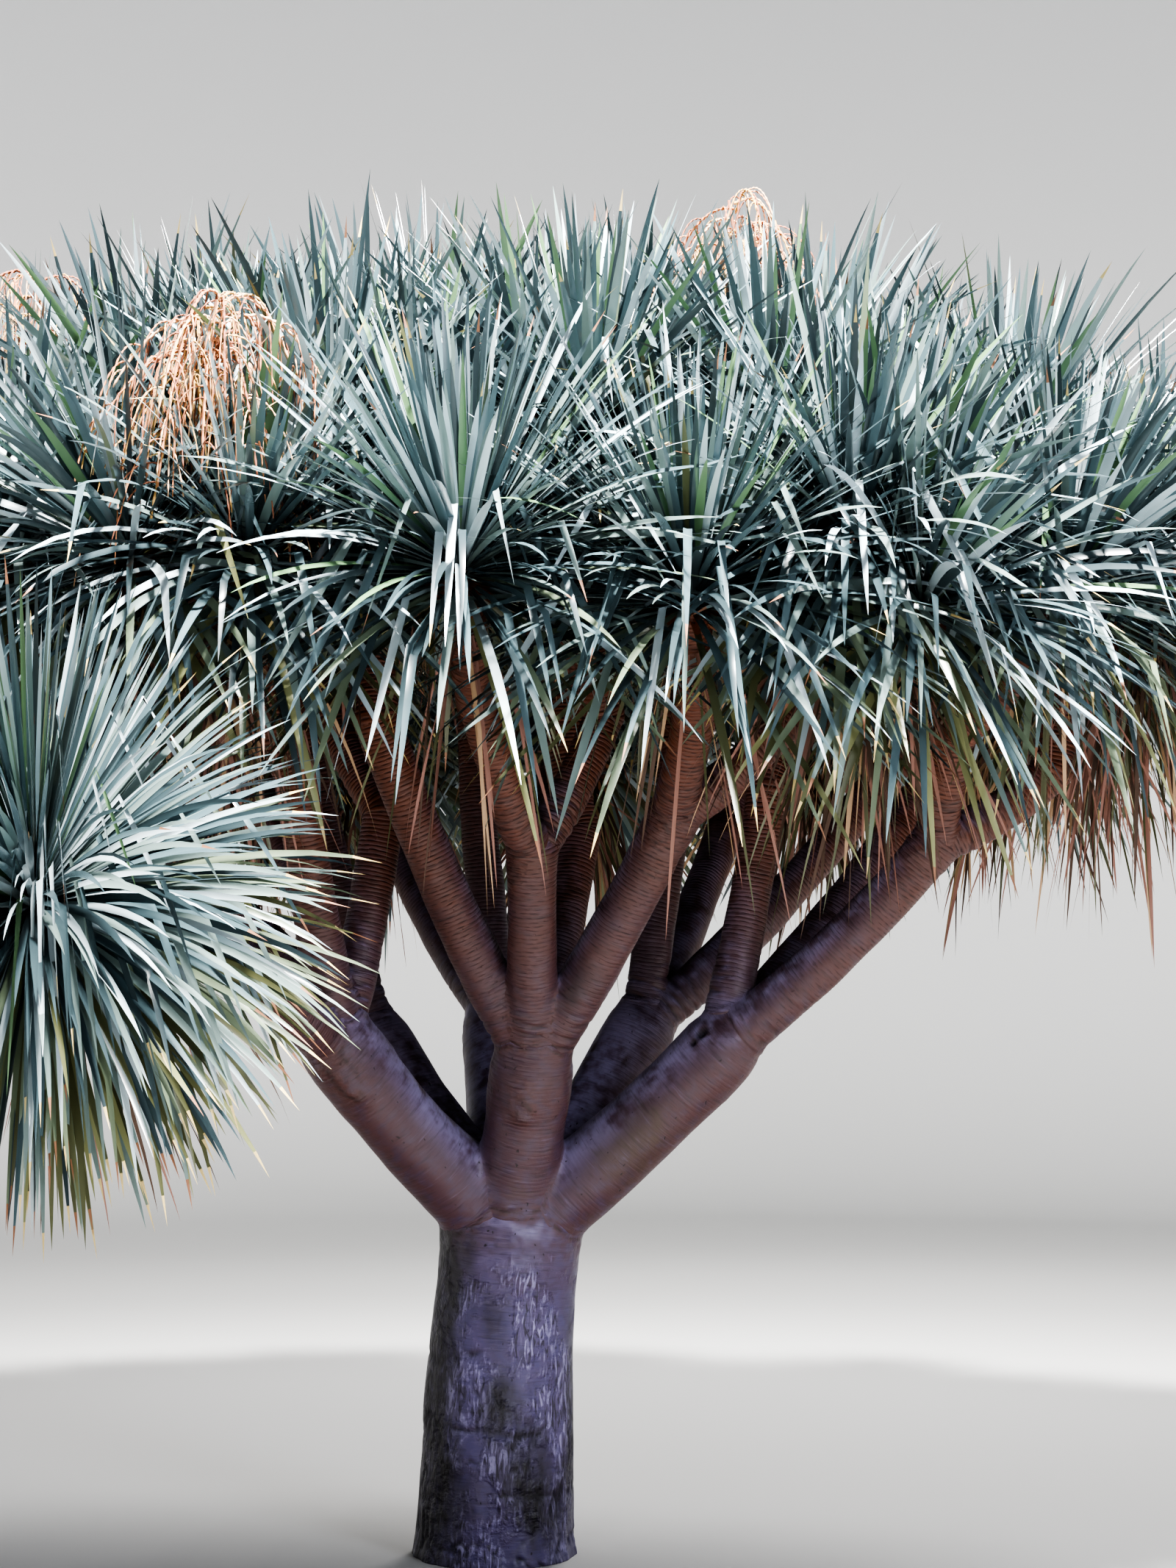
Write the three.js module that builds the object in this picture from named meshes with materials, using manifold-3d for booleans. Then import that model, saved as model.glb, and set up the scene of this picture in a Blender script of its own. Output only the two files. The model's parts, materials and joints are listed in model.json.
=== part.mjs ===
// A grown dragon tree: one stout trunk, six boughs that fork like a candelabrum, and an umbrella of leaf
// rosettes. Millimetres, +Z up, origin in the middle of the flat cut under the trunk. -Y is the side the tree
// shows to a visitor on the path, +X is to their right.
import * as THREE from "three";
import { mergeVertices } from "three/addons/utils/BufferGeometryUtils.js";
import Module from "manifold-3d";

const wasm = await Module();
wasm.setup();

// Trunk, from the ground to the point where the boughs part
const trunkHeight = 1010;
const trunkLean = 52;
const trunkSides = 16;
const trunkRings = [
  { at: 0, radius: 248 },
  { at: 0.04, radius: 234 },
  { at: 0.12, radius: 226 },
  { at: 0.32, radius: 222 },
  { at: 0.55, radius: 210 },
  { at: 0.76, radius: 200 },
  { at: 0.86, radius: 206 },
  { at: 0.94, radius: 224 },
  { at: 1, radius: 230 },
  { at: 1.06, radius: 180 },
];
const trunkDome = 34;
const trunkForkRadius = 230;
const footLobes = 5;
const footLobeDepth = 0.06;
const footLobeHeight = 0.14;

// Fit of one piece in another
const gap = 0.45;

// Shape shared by every limb: [share of its length, size of the ring against the limb's own taper]
const limbProfile = [
  [0, 1.04],
  [0.2, 1.02],
  [0.55, 0.97],
  [0.86, 1],
  [0.96, 1.05],
  [1, 0.8],
];
const tipDome = 0.34;
const rootDepth = 0.4;
const boughDepth = 0.06;
const rootSpread = 0.5;

// Boughs and limbs, listed under the piece that they grow on: azimuth from +X towards +Y and lean from
// upright in degrees, length from tip to tip, radius at foot and tip, and bow, the share of the length by
// which it sags outwards before it rises
const limbSpecs = {
  trunk: [
    { name: "bough_front", azimuth: -75, lean: 28, length: 576, foot: 118, tip: 118, bow: 0.03 },
    { name: "bough_left", azimuth: -149, lean: 50, length: 828, foot: 120, tip: 112, bow: 0.04 },
    { name: "bough_right", azimuth: -17, lean: 53, length: 867, foot: 120, tip: 112, bow: 0.04 },
    { name: "bough_back_left", azimuth: 146, lean: 46, length: 786, foot: 118, tip: 110, bow: 0.05 },
    { name: "bough_back_right", azimuth: 42, lean: 44, length: 805, foot: 118, tip: 110, bow: 0.05 },
    { name: "bough_back", azimuth: 97, lean: 45, length: 856, foot: 116, tip: 108, bow: 0.05 },
  ],
  bough_front: [
    { name: "limb_front_2", azimuth: -91, lean: 29, length: 620, foot: 76, tip: 68, bow: 0.04 },
    { name: "limb_front_1", azimuth: -146, lean: 31, length: 1059, foot: 76, tip: 62, bow: 0.05 },
    { name: "limb_front_3", azimuth: -36, lean: 38, length: 820, foot: 78, tip: 70, bow: 0.04 },
    { name: "limb_front_4", azimuth: 68, lean: 29, length: 720, foot: 70, tip: 60, bow: 0.04 },
  ],
  limb_front_2: [
    { name: "limb_front_2_left", azimuth: -117, lean: 41, length: 480, foot: 60, tip: 56, bow: 0.08 },
    { name: "limb_front_2_right", azimuth: 34, lean: 33, length: 458, foot: 62, tip: 56, bow: 0.08 },
  ],
  limb_front_3: [
    { name: "limb_front_3_left", azimuth: -83, lean: 50, length: 352, foot: 62, tip: 58, bow: 0.08 },
    { name: "limb_front_3_right", azimuth: -13, lean: 52, length: 461, foot: 62, tip: 56, bow: 0.08 },
  ],
  bough_left: [
    { name: "limb_left_1", azimuth: -113, lean: 76, length: 900, foot: 74, tip: 62, bow: -0.08 },
    { name: "limb_left_2", azimuth: -104, lean: 18, length: 764, foot: 72, tip: 60, bow: 0.04 },
    { name: "limb_left_3", azimuth: 40, lean: 19, length: 680, foot: 68, tip: 58, bow: 0.04 },
    { name: "limb_left_4", azimuth: -173, lean: 43, length: 1085, foot: 72, tip: 60, bow: 0.07 },
  ],
  bough_right: [
    { name: "limb_right_1", azimuth: 45, lean: 10, length: 741, foot: 66, tip: 58, bow: 0.03 },
    { name: "limb_right_2", azimuth: -15, lean: 47, length: 823, foot: 78, tip: 68, bow: 0.06 },
    { name: "limb_right_3", azimuth: 36, lean: 45, length: 1093, foot: 72, tip: 60, bow: 0.05 },
  ],
  limb_right_2: [
    { name: "limb_right_2_near", azimuth: -89, lean: 35, length: 346, foot: 62, tip: 56, bow: 0.08 },
    { name: "limb_right_2_far", azimuth: 5, lean: 60, length: 384, foot: 64, tip: 58, bow: 0.1 },
  ],
  bough_back_left: [
    { name: "limb_back_left_1", azimuth: -171, lean: 45, length: 1218, foot: 70, tip: 58, bow: 0.06 },
    { name: "limb_back_left_2", azimuth: 125, lean: 41, length: 1156, foot: 70, tip: 58, bow: 0.06 },
    { name: "limb_back_left_3", azimuth: -148, lean: 14, length: 1070, foot: 66, tip: 56, bow: 0.03 },
  ],
  bough_back_right: [
    { name: "limb_back_right_1", azimuth: 6, lean: 6, length: 973, foot: 66, tip: 56, bow: 0.03 },
    { name: "limb_back_right_2", azimuth: 64, lean: 43, length: 1157, foot: 70, tip: 58, bow: 0.06 },
    { name: "limb_back_right_3", azimuth: 12, lean: 45, length: 1192, foot: 70, tip: 58, bow: 0.06 },
  ],
  bough_back: [
    { name: "limb_back_1", azimuth: 130, lean: 43, length: 1151, foot: 70, tip: 58, bow: 0.06 },
    { name: "limb_back_2", azimuth: 76, lean: 43, length: 1127, foot: 70, tip: 58, bow: 0.06 },
    { name: "limb_back_3", azimuth: -171, lean: 4, length: 1060, foot: 66, tip: 56, bow: 0.03 },
  ],
};
const boughSides = 10;
const limbSides = 7;

// Foliage: the rosettes stand evenly apart on a shallow dome
const crownCentre = 50;
const crownReach = { sideways: 1960, front: 1260, back: 1900 };
const domeTop = 3300;
const domeFall = { sideways: 0.11, front: 0.36, back: 0.2 };
const unevenDome = 60;
const rosetteSpacing = 590;
const startOut = 1.25;
const spreadRounds = 80;
const pushShare = 0.3;
const stemShare = 0.4;
const stemRadius = 62;
const twigRadius = 56;
const headRadius = 54;
const twigSides = 3;
const twigDome = 0.5;
const stemBow = 0.06;
const twigBow = 0.14;
const headRise = { fixed: 0.25, free: 0.6 };

// One mass of foliage on each limb tip. Its rosettes find their own places, except where azimuth and out say
// how far from the limb's tip the only one stands, and height how far above the ground.
const massSpecs = [
  { on: "limb_left_1", azimuth: -111, out: 606, height: 1830, leaf: 1.12, leaves: 24 },
  { on: "limb_front_2_left", azimuth: -94, out: 411, height: 2710, leaves: 17 },
  { on: "limb_front_3_left", azimuth: -94, out: 341, height: 2650, leaves: 17 },
  { on: "limb_right_2_near", azimuth: -41, out: 369, height: 2740, leaves: 16 },
  { on: "limb_front_1", rosettes: 2 },
  { on: "limb_front_2_right", rosettes: 1 },
  { on: "limb_front_3_right", rosettes: 2 },
  { on: "limb_front_4", rosettes: 2 },
  { on: "limb_left_2", rosettes: 2 },
  { on: "limb_left_3", rosettes: 1 },
  { on: "limb_left_4", rosettes: 2 },
  { on: "limb_right_1", rosettes: 1 },
  { on: "limb_right_2_far", rosettes: 2 },
  { on: "limb_right_3", rosettes: 2 },
  { on: "limb_back_left_1", rosettes: 2 },
  { on: "limb_back_left_2", rosettes: 2 },
  { on: "limb_back_left_3", rosettes: 1 },
  { on: "limb_back_right_1", rosettes: 1 },
  { on: "limb_back_right_2", rosettes: 2 },
  { on: "limb_back_right_3", rosettes: 2 },
  { on: "limb_back_1", rosettes: 2 },
  { on: "limb_back_2", rosettes: 2 },
  { on: "limb_back_3", rosettes: 1 },
];

// Leaves
const leafLength = 780;
const leafWidth = 138;
const leafKeel = 28;
const leafWidest = 0.42;
const leavesPerRosette = 11;
const leafOpening = 126;
const leafDroop = 0.36;
const unevenTurn = 30;
const unevenLength = 0.12;
const shorterLeaves = [1, 0.84, 0.68, 0.54, 0.42];
const spaceMargin = 2;

// Dried flower stalks: a bare stalk with a drooping umbrella of thin branches
const stalkSpecs = [
  { on: "limb_left_2", rosette: 1, height: 740, spread: 330, branches: 10 },
  { on: "limb_right_1", rosette: 0, height: 860, spread: 340, branches: 9 },
  { on: "limb_back_left_3", rosette: 0, height: 700, spread: 300, branches: 9 },
];
const stalkRadius = 15;
const stalkBranchRadius = 9;

const trunkPaint = { color: 0x6f6570, roughness: 0.88, metalness: 0 };
const boughPaint = { color: 0x7c5f58, roughness: 0.8, metalness: 0 };
const limbPaint = { color: 0x84594a, roughness: 0.82, metalness: 0 };
const foliagePaint = { color: 0x7fa095, roughness: 0.55, metalness: 0 };

const up = new THREE.Vector3(0, 0, 1);
const radians = THREE.MathUtils.degToRad;

// The same numbers between 0 and 1 every time, for one seed
function seeded(seed) {
  let state = (seed * 2654435761) % 4294967296;
  return () => {
    state = (state * 1664525 + 1013904223) % 4294967296;
    return state / 4294967296;
  };
}

function level(azimuth, distance = 1) {
  return new THREE.Vector3(distance, 0, 0).applyAxisAngle(up, radians(azimuth));
}

function direction(azimuth, lean) {
  return level(azimuth, Math.sin(radians(lean))).setZ(Math.cos(radians(lean)));
}

function toSolid(geometry) {
  geometry.deleteAttribute("normal");
  geometry.deleteAttribute("uv");
  const merged = mergeVertices(geometry, 1e-4);
  const vertProperties = new Float32Array(merged.getAttribute("position").array);
  const triVerts = new Uint32Array(merged.getIndex().array);
  return new wasm.Manifold(new wasm.Mesh({ numProp: 3, vertProperties, triVerts }));
}

function toGeometry(solid) {
  const { vertProperties, triVerts } = solid.getMesh();
  const geometry = new THREE.BufferGeometry();
  geometry.setAttribute("position", new THREE.BufferAttribute(vertProperties, 3));
  geometry.setIndex(new THREE.BufferAttribute(triVerts, 1));
  geometry.computeVertexNormals();
  return geometry;
}

// A round bar along a flat curve. Each ring has its place along the curve and its radius, and dome is how far
// the end stands out past the last ring. grow thickens it on all sides, for the space that neighbours leave.
function bar(curve, rings, sides, dome, { grow = 0, lobes = () => 1 } = {}) {
  const geometry = new THREE.CylinderGeometry(1, 1, 1, sides, rings.length - 1);
  const place = geometry.getAttribute("position");
  const chord = curve.v2.clone().sub(curve.v0);
  const across = new THREE.Vector3(-chord.y, chord.x, 0).normalize();
  const corner = new THREE.Vector3();
  for (let i = 0; i < place.count; i += 1) {
    corner.fromBufferAttribute(place, i);
    const ring = rings[Math.round((corner.y + 0.5) * (rings.length - 1))];
    const share = Math.min(ring.at, 1);
    const ahead = curve.getTangent(share);
    const end = [rings[0], rings.at(-1)].indexOf(ring);
    const beyond = (ring.at - share) * chord.length() + [0, -grow, grow][end + 1];
    const middle = curve.getPoint(share).addScaledVector(ahead, beyond);
    const side = across.clone().cross(ahead);
    if (corner.x === 0 && corner.z === 0) {
      middle.addScaledVector(ahead, end * dome);
    } else {
      const lobe = lobes(Math.atan2(corner.z, corner.x), ring.at);
      const radius = (ring.radius + grow / Math.cos(Math.PI / sides)) * lobe;
      middle.addScaledVector(across, corner.x * radius).addScaledVector(side, corner.z * radius);
    }
    place.setXYZ(i, middle.x, middle.y, middle.z);
  }
  return toSolid(geometry);
}

function curveBetween(foot, tip, bow) {
  const chord = tip.clone().sub(foot);
  const outward = chord.clone().setZ(0).normalize().multiplyScalar(chord.z);
  outward.z = -Math.hypot(chord.x, chord.y);
  const control = foot.clone().add(tip).multiplyScalar(0.5).addScaledVector(outward, bow);
  return new THREE.QuadraticBezierCurve3(foot, control, tip);
}

// The foot of a piece that grows out of another's rounded tip, on the side that it leaves by
function footOn(parent, tip) {
  const leaving = tip.clone().sub(parent.tip).normalize();
  const sideways = leaving.addScaledVector(parent.ahead, -leaving.dot(parent.ahead));
  const depth = parent.name === "trunk" ? boughDepth : rootDepth;
  const foot = parent.tip.clone().addScaledVector(parent.ahead, -depth * parent.tipRadius);
  return foot.addScaledVector(sideways, rootSpread * parent.tipRadius);
}

function mainPart(solid) {
  return solid.decompose().sort((a, b) => b.volume() - a.volume())[0];
}

function makeTrunk() {
  const tip = new THREE.Vector3(trunkLean, 0, trunkHeight);
  const curve = new THREE.QuadraticBezierCurve3(
    new THREE.Vector3(0, 0, 0),
    new THREE.Vector3(0, 0, trunkHeight / 2),
    tip,
  );
  const lobes = (angle, at) => {
    const share = Math.max(0, 1 - at / footLobeHeight);
    return 1 + footLobeDepth * share * Math.cos(footLobes * angle);
  };
  return {
    name: "trunk",
    tip,
    ahead: curve.getTangent(1),
    tipRadius: trunkForkRadius,
    solid: bar(curve, trunkRings, trunkSides, trunkDome, { lobes }),
    space: bar(curve, trunkRings, trunkSides, trunkDome, { lobes, grow: gap }),
    paint: trunkPaint,
    children: [],
  };
}

function makeLimb(spec, parent) {
  const tip = parent.tip.clone().addScaledVector(direction(spec.azimuth, spec.lean), spec.length);
  const foot = footOn(parent, tip);
  const curve = curveBetween(foot, tip, spec.bow);
  const rings = limbProfile.map(([at, size]) => ({
    at,
    radius: THREE.MathUtils.lerp(spec.foot, spec.tip, at) * size,
  }));
  const sides = parent.name === "trunk" ? boughSides : limbSides;
  const whole = bar(curve, rings, sides, tipDome * spec.tip);
  const space = bar(curve, rings, sides, tipDome * spec.tip, { grow: gap });
  const cut = [parent, ...parent.children].reduce((left, other) => left.subtract(other.space), whole);
  const limb = {
    name: spec.name,
    tip,
    ahead: curve.getTangent(1),
    tipRadius: spec.tip,
    solid: mainPart(cut),
    space,
    paint: parent.name === "trunk" ? boughPaint : limbPaint,
    children: [],
  };
  parent.children.push(limb);
  return limb;
}

function domeHeight(place) {
  const out = (place.x - crownCentre) / 1000;
  const deep = place.y / 1000;
  const fall = domeFall.sideways * out * out + (deep < 0 ? domeFall.front : domeFall.back) * deep * deep;
  return domeTop - 1000 * fall;
}

// How far out a place lies, as a share of the crown's reach in its direction
function shareOfReach(place) {
  const depth = place.y < 0 ? crownReach.front : crownReach.back;
  return Math.hypot((place.x - crownCentre) / crownReach.sideways, place.y / depth);
}

// Rosettes start round their limb's tip and are pushed apart until they stand evenly within the crown's reach
function placeRosettes(limbs) {
  const heads = massSpecs.flatMap((spec, m) => {
    const tip = limbs.get(spec.on).tip;
    if (spec.out) {
      const place = tip.clone().add(level(spec.azimuth, spec.out)).setZ(spec.height);
      return [{ mass: m, fixed: true, place, leaves: spec.leaves, size: spec.leaf ?? 1 }];
    }
    const draw = seeded(m + 1);
    const outward = new THREE.Vector3(crownCentre + (tip.x - crownCentre) * startOut, tip.y * startOut, 0);
    const turn = draw() * 360;
    return Array.from({ length: spec.rosettes }, (_, k) => ({
      mass: m,
      fixed: false,
      place: outward.clone().add(level(turn + (k * 360) / spec.rosettes, rosetteSpacing / 2)),
      rise: (draw() - 0.5) * unevenDome,
      leaves: leavesPerRosette,
      size: 1,
    }));
  });
  for (let round = 0; round < spreadRounds; round += 1) {
    for (const head of heads) {
      for (const other of heads) {
        const apart = head.place.clone().sub(other.place).setZ(0);
        const short = rosetteSpacing - apart.length();
        if (head !== other && short > 0 && !head.fixed) {
          head.place.addScaledVector(apart.normalize(), short * (other.fixed ? 2 : 1) * pushShare);
        }
      }
      const share = shareOfReach(head.place);
      if (!head.fixed && share > 1) {
        head.place.setX(crownCentre + (head.place.x - crownCentre) / share);
        head.place.setY(head.place.y / share);
      }
    }
  }
  const free = heads.filter((head) => !head.fixed);
  free.forEach((head) => head.place.setZ(domeHeight(head.place) + head.rise));
  return heads;
}

function evenTaper(from, to, places) {
  return places.map((at) => ({ at, radius: THREE.MathUtils.lerp(from, to, at) }));
}

// The woody part of a mass: one stem from the limb's tip, forking to its rosettes
function makeTwigs(limb, heads) {
  const forks = heads.length > 1;
  const middle = heads.reduce((sum, head) => sum.add(head.place), new THREE.Vector3());
  const fork = limb.tip.clone().lerp(middle.divideScalar(heads.length), forks ? stemShare : 1);
  const foot = limb.tip.clone().addScaledVector(limb.ahead, -rootDepth * limb.tipRadius);
  const pieces = (grow) => {
    const end = forks ? twigRadius : headRadius;
    const stemRings = evenTaper(stemRadius, end, [0, 0.12, 0.6, 1]);
    const stem = bar(curveBetween(foot, fork, stemBow), stemRings, twigSides, twigDome * end, { grow });
    if (!forks) {
      return [stem];
    }
    const twigRings = evenTaper(twigRadius, headRadius, [0, 0.55, 1]);
    const twigs = heads.map((head) => {
      const curve = curveBetween(fork, head.place, twigBow);
      return bar(curve, twigRings, twigSides, twigDome * headRadius, { grow });
    });
    return [stem, ...twigs];
  };
  heads.forEach((head) => {
    const ahead = curveBetween(forks ? fork : foot, head.place, twigBow).getTangent(1);
    head.axis = ahead.addScaledVector(up, head.fixed ? headRise.fixed : headRise.free).normalize();
  });
  return { whole: pieces(0), space: pieces(gap) };
}

// A long three-sided spindle from root to tip, widest at its belly, with a keel below and two raised edges
function spindle(root, belly, tip, width, keel) {
  const geometry = new THREE.SphereGeometry(1, 3, 2);
  const place = geometry.getAttribute("position");
  const outward = belly.clone().sub(root).normalize();
  const across = new THREE.Vector3().crossVectors(outward, up).normalize();
  const over = new THREE.Vector3().crossVectors(across, outward).normalize();
  const corner = new THREE.Vector3();
  for (let i = 0; i < place.count; i += 1) {
    corner.fromBufferAttribute(place, i);
    const spot = (corner.y > 0.5 ? tip : corner.y < -0.5 ? root : belly).clone();
    spot.addScaledVector(across, (-corner.z * width) / Math.sqrt(3)).addScaledVector(over, corner.x * keel);
    place.setXYZ(i, spot.x, spot.y, spot.z);
  }
  geometry.computeBoundingBox();
  return geometry;
}

// One leaf: its root deep in the head, its tip hanging the more the flatter it leaves
function leafGeometry(root, outward, length, size) {
  const sag = leafDroop * Math.sqrt(Math.max(0, 1 - outward.z * outward.z));
  const tip = outward.clone().addScaledVector(up, -sag).setLength(length).add(root);
  const belly = root.clone().addScaledVector(outward, leafWidest * length);
  return spindle(root, belly, tip, leafWidth * size, leafKeel);
}

// True if every corner lies on this rosette's side of the plane half-way to each rosette of the other masses
function inOwnSpace(geometry, head, heads) {
  const place = geometry.getAttribute("position");
  const corner = new THREE.Vector3();
  return heads.every((other) => {
    if (other.mass === head.mass) {
      return true;
    }
    const away = other.place.clone().sub(head.place);
    const half = away.length() / 2 - spaceMargin;
    away.normalize();
    for (let i = 0; i < place.count; i += 1) {
      if (corner.fromBufferAttribute(place, i).sub(head.place).dot(away) > half) {
        return false;
      }
    }
    return true;
  });
}

function touches(geometry, solid, obstacles) {
  const near = obstacles.filter((other) => geometry.boundingBox.intersectsBox(other.box));
  return near.some((other) => !solid.intersect(other.solid).isEmpty());
}

// The leaves of one rosette, opening from the axis by the golden angle, the last ones hanging
function makeLeaves(head, heads, obstacles, draw) {
  const leaves = [];
  const golden = 180 * (3 - Math.sqrt(5));
  const side = new THREE.Vector3(0, -1, 0.01).cross(head.axis).normalize();
  const open = 1 - Math.cos(radians(leafOpening));
  for (let i = 0; i < head.leaves; i += 1) {
    const tilt = Math.acos(1 - (open * (i + 0.5)) / head.leaves);
    const turn = radians(i * golden + draw() * unevenTurn);
    const outward = head.axis.clone().applyAxisAngle(side, tilt).applyAxisAngle(head.axis, turn);
    const wanted = leafLength * head.size * (1 + (draw() - 0.5) * unevenLength);
    for (const share of shorterLeaves) {
      const geometry = leafGeometry(head.place, outward, wanted * share, head.size);
      if (!inOwnSpace(geometry, head, heads)) {
        continue;
      }
      const solid = toSolid(geometry);
      if (!touches(geometry, solid, obstacles)) {
        leaves.push(solid);
        break;
      }
    }
  }
  return leaves;
}

// A bare stalk rising from the rosette, with thin branches that arch out and hang round it
function makeStalk(spec, head, heads, obstacles, draw) {
  const rise = new THREE.Vector3().lerpVectors(head.axis, up, 0.65).multiplyScalar(spec.height);
  const top = head.place.clone().add(rise);
  const middle = head.place.clone().addScaledVector(rise, 0.3);
  const pieces = [toSolid(spindle(head.place, middle, top, 2 * stalkRadius, stalkRadius))];
  for (let k = 0; k < spec.branches; k += 1) {
    const foot = head.place.clone().addScaledVector(rise, 0.7 + (0.25 * k) / spec.branches);
    const out = level((k * 360) / spec.branches + 25 * draw(), spec.spread * (0.75 + 0.35 * draw()));
    const arch = spec.height * 0.1;
    const fall = spec.height * (0.4 + 0.4 * draw());
    for (const share of shorterLeaves) {
      const belly = foot.clone().addScaledVector(out, 0.5 * share).addScaledVector(up, arch * share);
      const tip = foot.clone().addScaledVector(out, share).addScaledVector(up, -fall * share);
      const geometry = spindle(foot, belly, tip, 2 * stalkBranchRadius, stalkBranchRadius);
      const solid = toSolid(geometry);
      if (inOwnSpace(geometry, head, heads) && !touches(geometry, solid, obstacles)) {
        pieces.push(solid);
        break;
      }
    }
  }
  return pieces;
}

function boxed(solid) {
  const { min, max } = solid.boundingBox();
  return { solid, box: new THREE.Box3(new THREE.Vector3(...min), new THREE.Vector3(...max)) };
}

function makeFoliage(limbs) {
  const heads = placeRosettes(limbs);
  const masses = massSpecs.map((spec, m) => {
    const own = heads.filter((head) => head.mass === m);
    return { spec, own, limb: limbs.get(spec.on), ...makeTwigs(limbs.get(spec.on), own) };
  });
  const limbSpaces = [...limbs.values()].map((limb) => boxed(limb.space));
  masses.forEach((mass) => (mass.boxes = mass.space.map(boxed)));
  return masses.map((mass, m) => {
    const draw = seeded(m + 101);
    const others = masses.filter((other) => other !== mass).flatMap((other) => other.boxes);
    const obstacles = [...limbSpaces, ...others];
    const parts = [...mass.whole];
    mass.own.forEach((head) => parts.push(...makeLeaves(head, heads, obstacles, draw)));
    stalkSpecs
      .filter((stalk) => stalk.on === mass.spec.on)
      .forEach((stalk) => parts.push(...makeStalk(stalk, mass.own[stalk.rosette], heads, obstacles, draw)));
    const joined = parts.reduce((sum, part) => sum.add(part));
    return {
      name: mass.spec.on.replace("limb", "foliage"),
      solid: mainPart(joined.subtract(mass.limb.space)),
      paint: foliagePaint,
    };
  });
}

function makeTree() {
  const trunk = makeTrunk();
  const limbs = new Map([["trunk", trunk]]);
  Object.entries(limbSpecs).forEach(([parent, specs]) => {
    specs.forEach((spec) => limbs.set(spec.name, makeLimb(spec, limbs.get(parent))));
  });
  const tree = new THREE.Group();
  [...limbs.values(), ...makeFoliage(limbs)].forEach((part) => {
    const mesh = new THREE.Mesh(toGeometry(part.solid), new THREE.MeshStandardMaterial(part.paint));
    mesh.name = part.name;
    tree.add(mesh);
  });
  return tree;
}

export default makeTree();
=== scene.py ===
"""Dresses the dragon tree: bark with its relief, rosettes of sword leaves and dried flower stalks.

Metres, +Z up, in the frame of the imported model. Limbs and rosettes grow by the same rule as the solids that
they stand for, and are carried on to finer twigs.
"""

from __future__ import annotations

import json
import logging
import math
from collections.abc import Callable, Iterable, Mapping, Sequence
from dataclasses import dataclass, field
from enum import Enum
from functools import partialmethod

import bpy
import numpy as np
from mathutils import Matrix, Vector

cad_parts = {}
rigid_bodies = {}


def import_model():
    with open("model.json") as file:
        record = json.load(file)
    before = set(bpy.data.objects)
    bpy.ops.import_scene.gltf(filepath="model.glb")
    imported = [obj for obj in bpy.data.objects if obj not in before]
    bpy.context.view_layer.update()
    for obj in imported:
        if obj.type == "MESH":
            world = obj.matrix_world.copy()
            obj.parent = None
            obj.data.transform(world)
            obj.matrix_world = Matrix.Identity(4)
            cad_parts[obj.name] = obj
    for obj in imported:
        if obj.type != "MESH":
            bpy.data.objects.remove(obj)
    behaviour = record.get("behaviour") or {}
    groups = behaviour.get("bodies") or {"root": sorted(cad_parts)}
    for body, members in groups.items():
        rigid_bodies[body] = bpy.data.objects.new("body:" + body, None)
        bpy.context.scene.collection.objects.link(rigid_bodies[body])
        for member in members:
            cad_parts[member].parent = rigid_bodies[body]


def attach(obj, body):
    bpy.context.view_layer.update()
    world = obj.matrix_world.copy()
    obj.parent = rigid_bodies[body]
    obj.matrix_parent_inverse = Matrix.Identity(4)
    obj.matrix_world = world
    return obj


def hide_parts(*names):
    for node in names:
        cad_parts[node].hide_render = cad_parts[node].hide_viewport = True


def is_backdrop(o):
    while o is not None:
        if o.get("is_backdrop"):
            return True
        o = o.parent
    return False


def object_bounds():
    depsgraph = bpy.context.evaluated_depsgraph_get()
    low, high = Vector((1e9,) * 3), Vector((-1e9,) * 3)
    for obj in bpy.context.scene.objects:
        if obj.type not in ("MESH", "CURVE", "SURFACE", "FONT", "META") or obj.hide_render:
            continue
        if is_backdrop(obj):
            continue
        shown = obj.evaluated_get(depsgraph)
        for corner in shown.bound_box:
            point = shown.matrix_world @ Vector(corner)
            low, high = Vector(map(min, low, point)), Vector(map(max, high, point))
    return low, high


log = logging.getLogger("dragon_tree")

Array = np.ndarray
Pair = tuple[Array, Array]
Strand = tuple[Array, Array, int]
Triple = tuple[float, float, float]
Colour = tuple[float, float, float, float]
UP = np.array([0.0, 0.0, 1.0])
# The width of a leaf scar and the height of a row of scars.
SCAR_WIDTH = 0.034
SCAR_ROW = 0.0125
# How many points the middle line of the trunk or a limb is drawn by before it is smoothed.
LINE_POINTS = 40
# How far the ball that fills a limb's tip stands back from it, as a share of its radius.
TIP_BALL = 0.66
GOLDEN_TURN = math.pi * (3 - math.sqrt(5))
# The section at which a leaf is folded over when it never is.
NEVER = 99


def tone(red: int, green: int, blue: int) -> Colour:
    """A paint chart's colour, in steps up to 255, as Blender's linear values."""
    linear = [(c / 255 / 12.92) if c < 11 else ((c / 255 + 0.055) / 1.055) ** 2.4 for c in (red, green, blue)]
    return (*linear, 1.0)


def unit(vector: Array) -> Array:
    """The vectors, each with length 1."""
    return vector / np.maximum(np.linalg.norm(vector, axis=-1, keepdims=True), 1e-12)


def ease(value: Array, low: float, high: float) -> Array:
    """0 up to low, 1 from high on, with a smooth step between."""
    share = np.clip((value - low) / (high - low), 0, 1)
    return share * share * (3 - 2 * share)


def level(azimuth: float, distance: float = 1.0) -> Array:
    """A level step of that distance, with the azimuth in degrees from +X towards +Y."""
    angle = math.radians(azimuth)
    return distance * np.array([math.cos(angle), math.sin(angle), 0.0])


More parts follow.
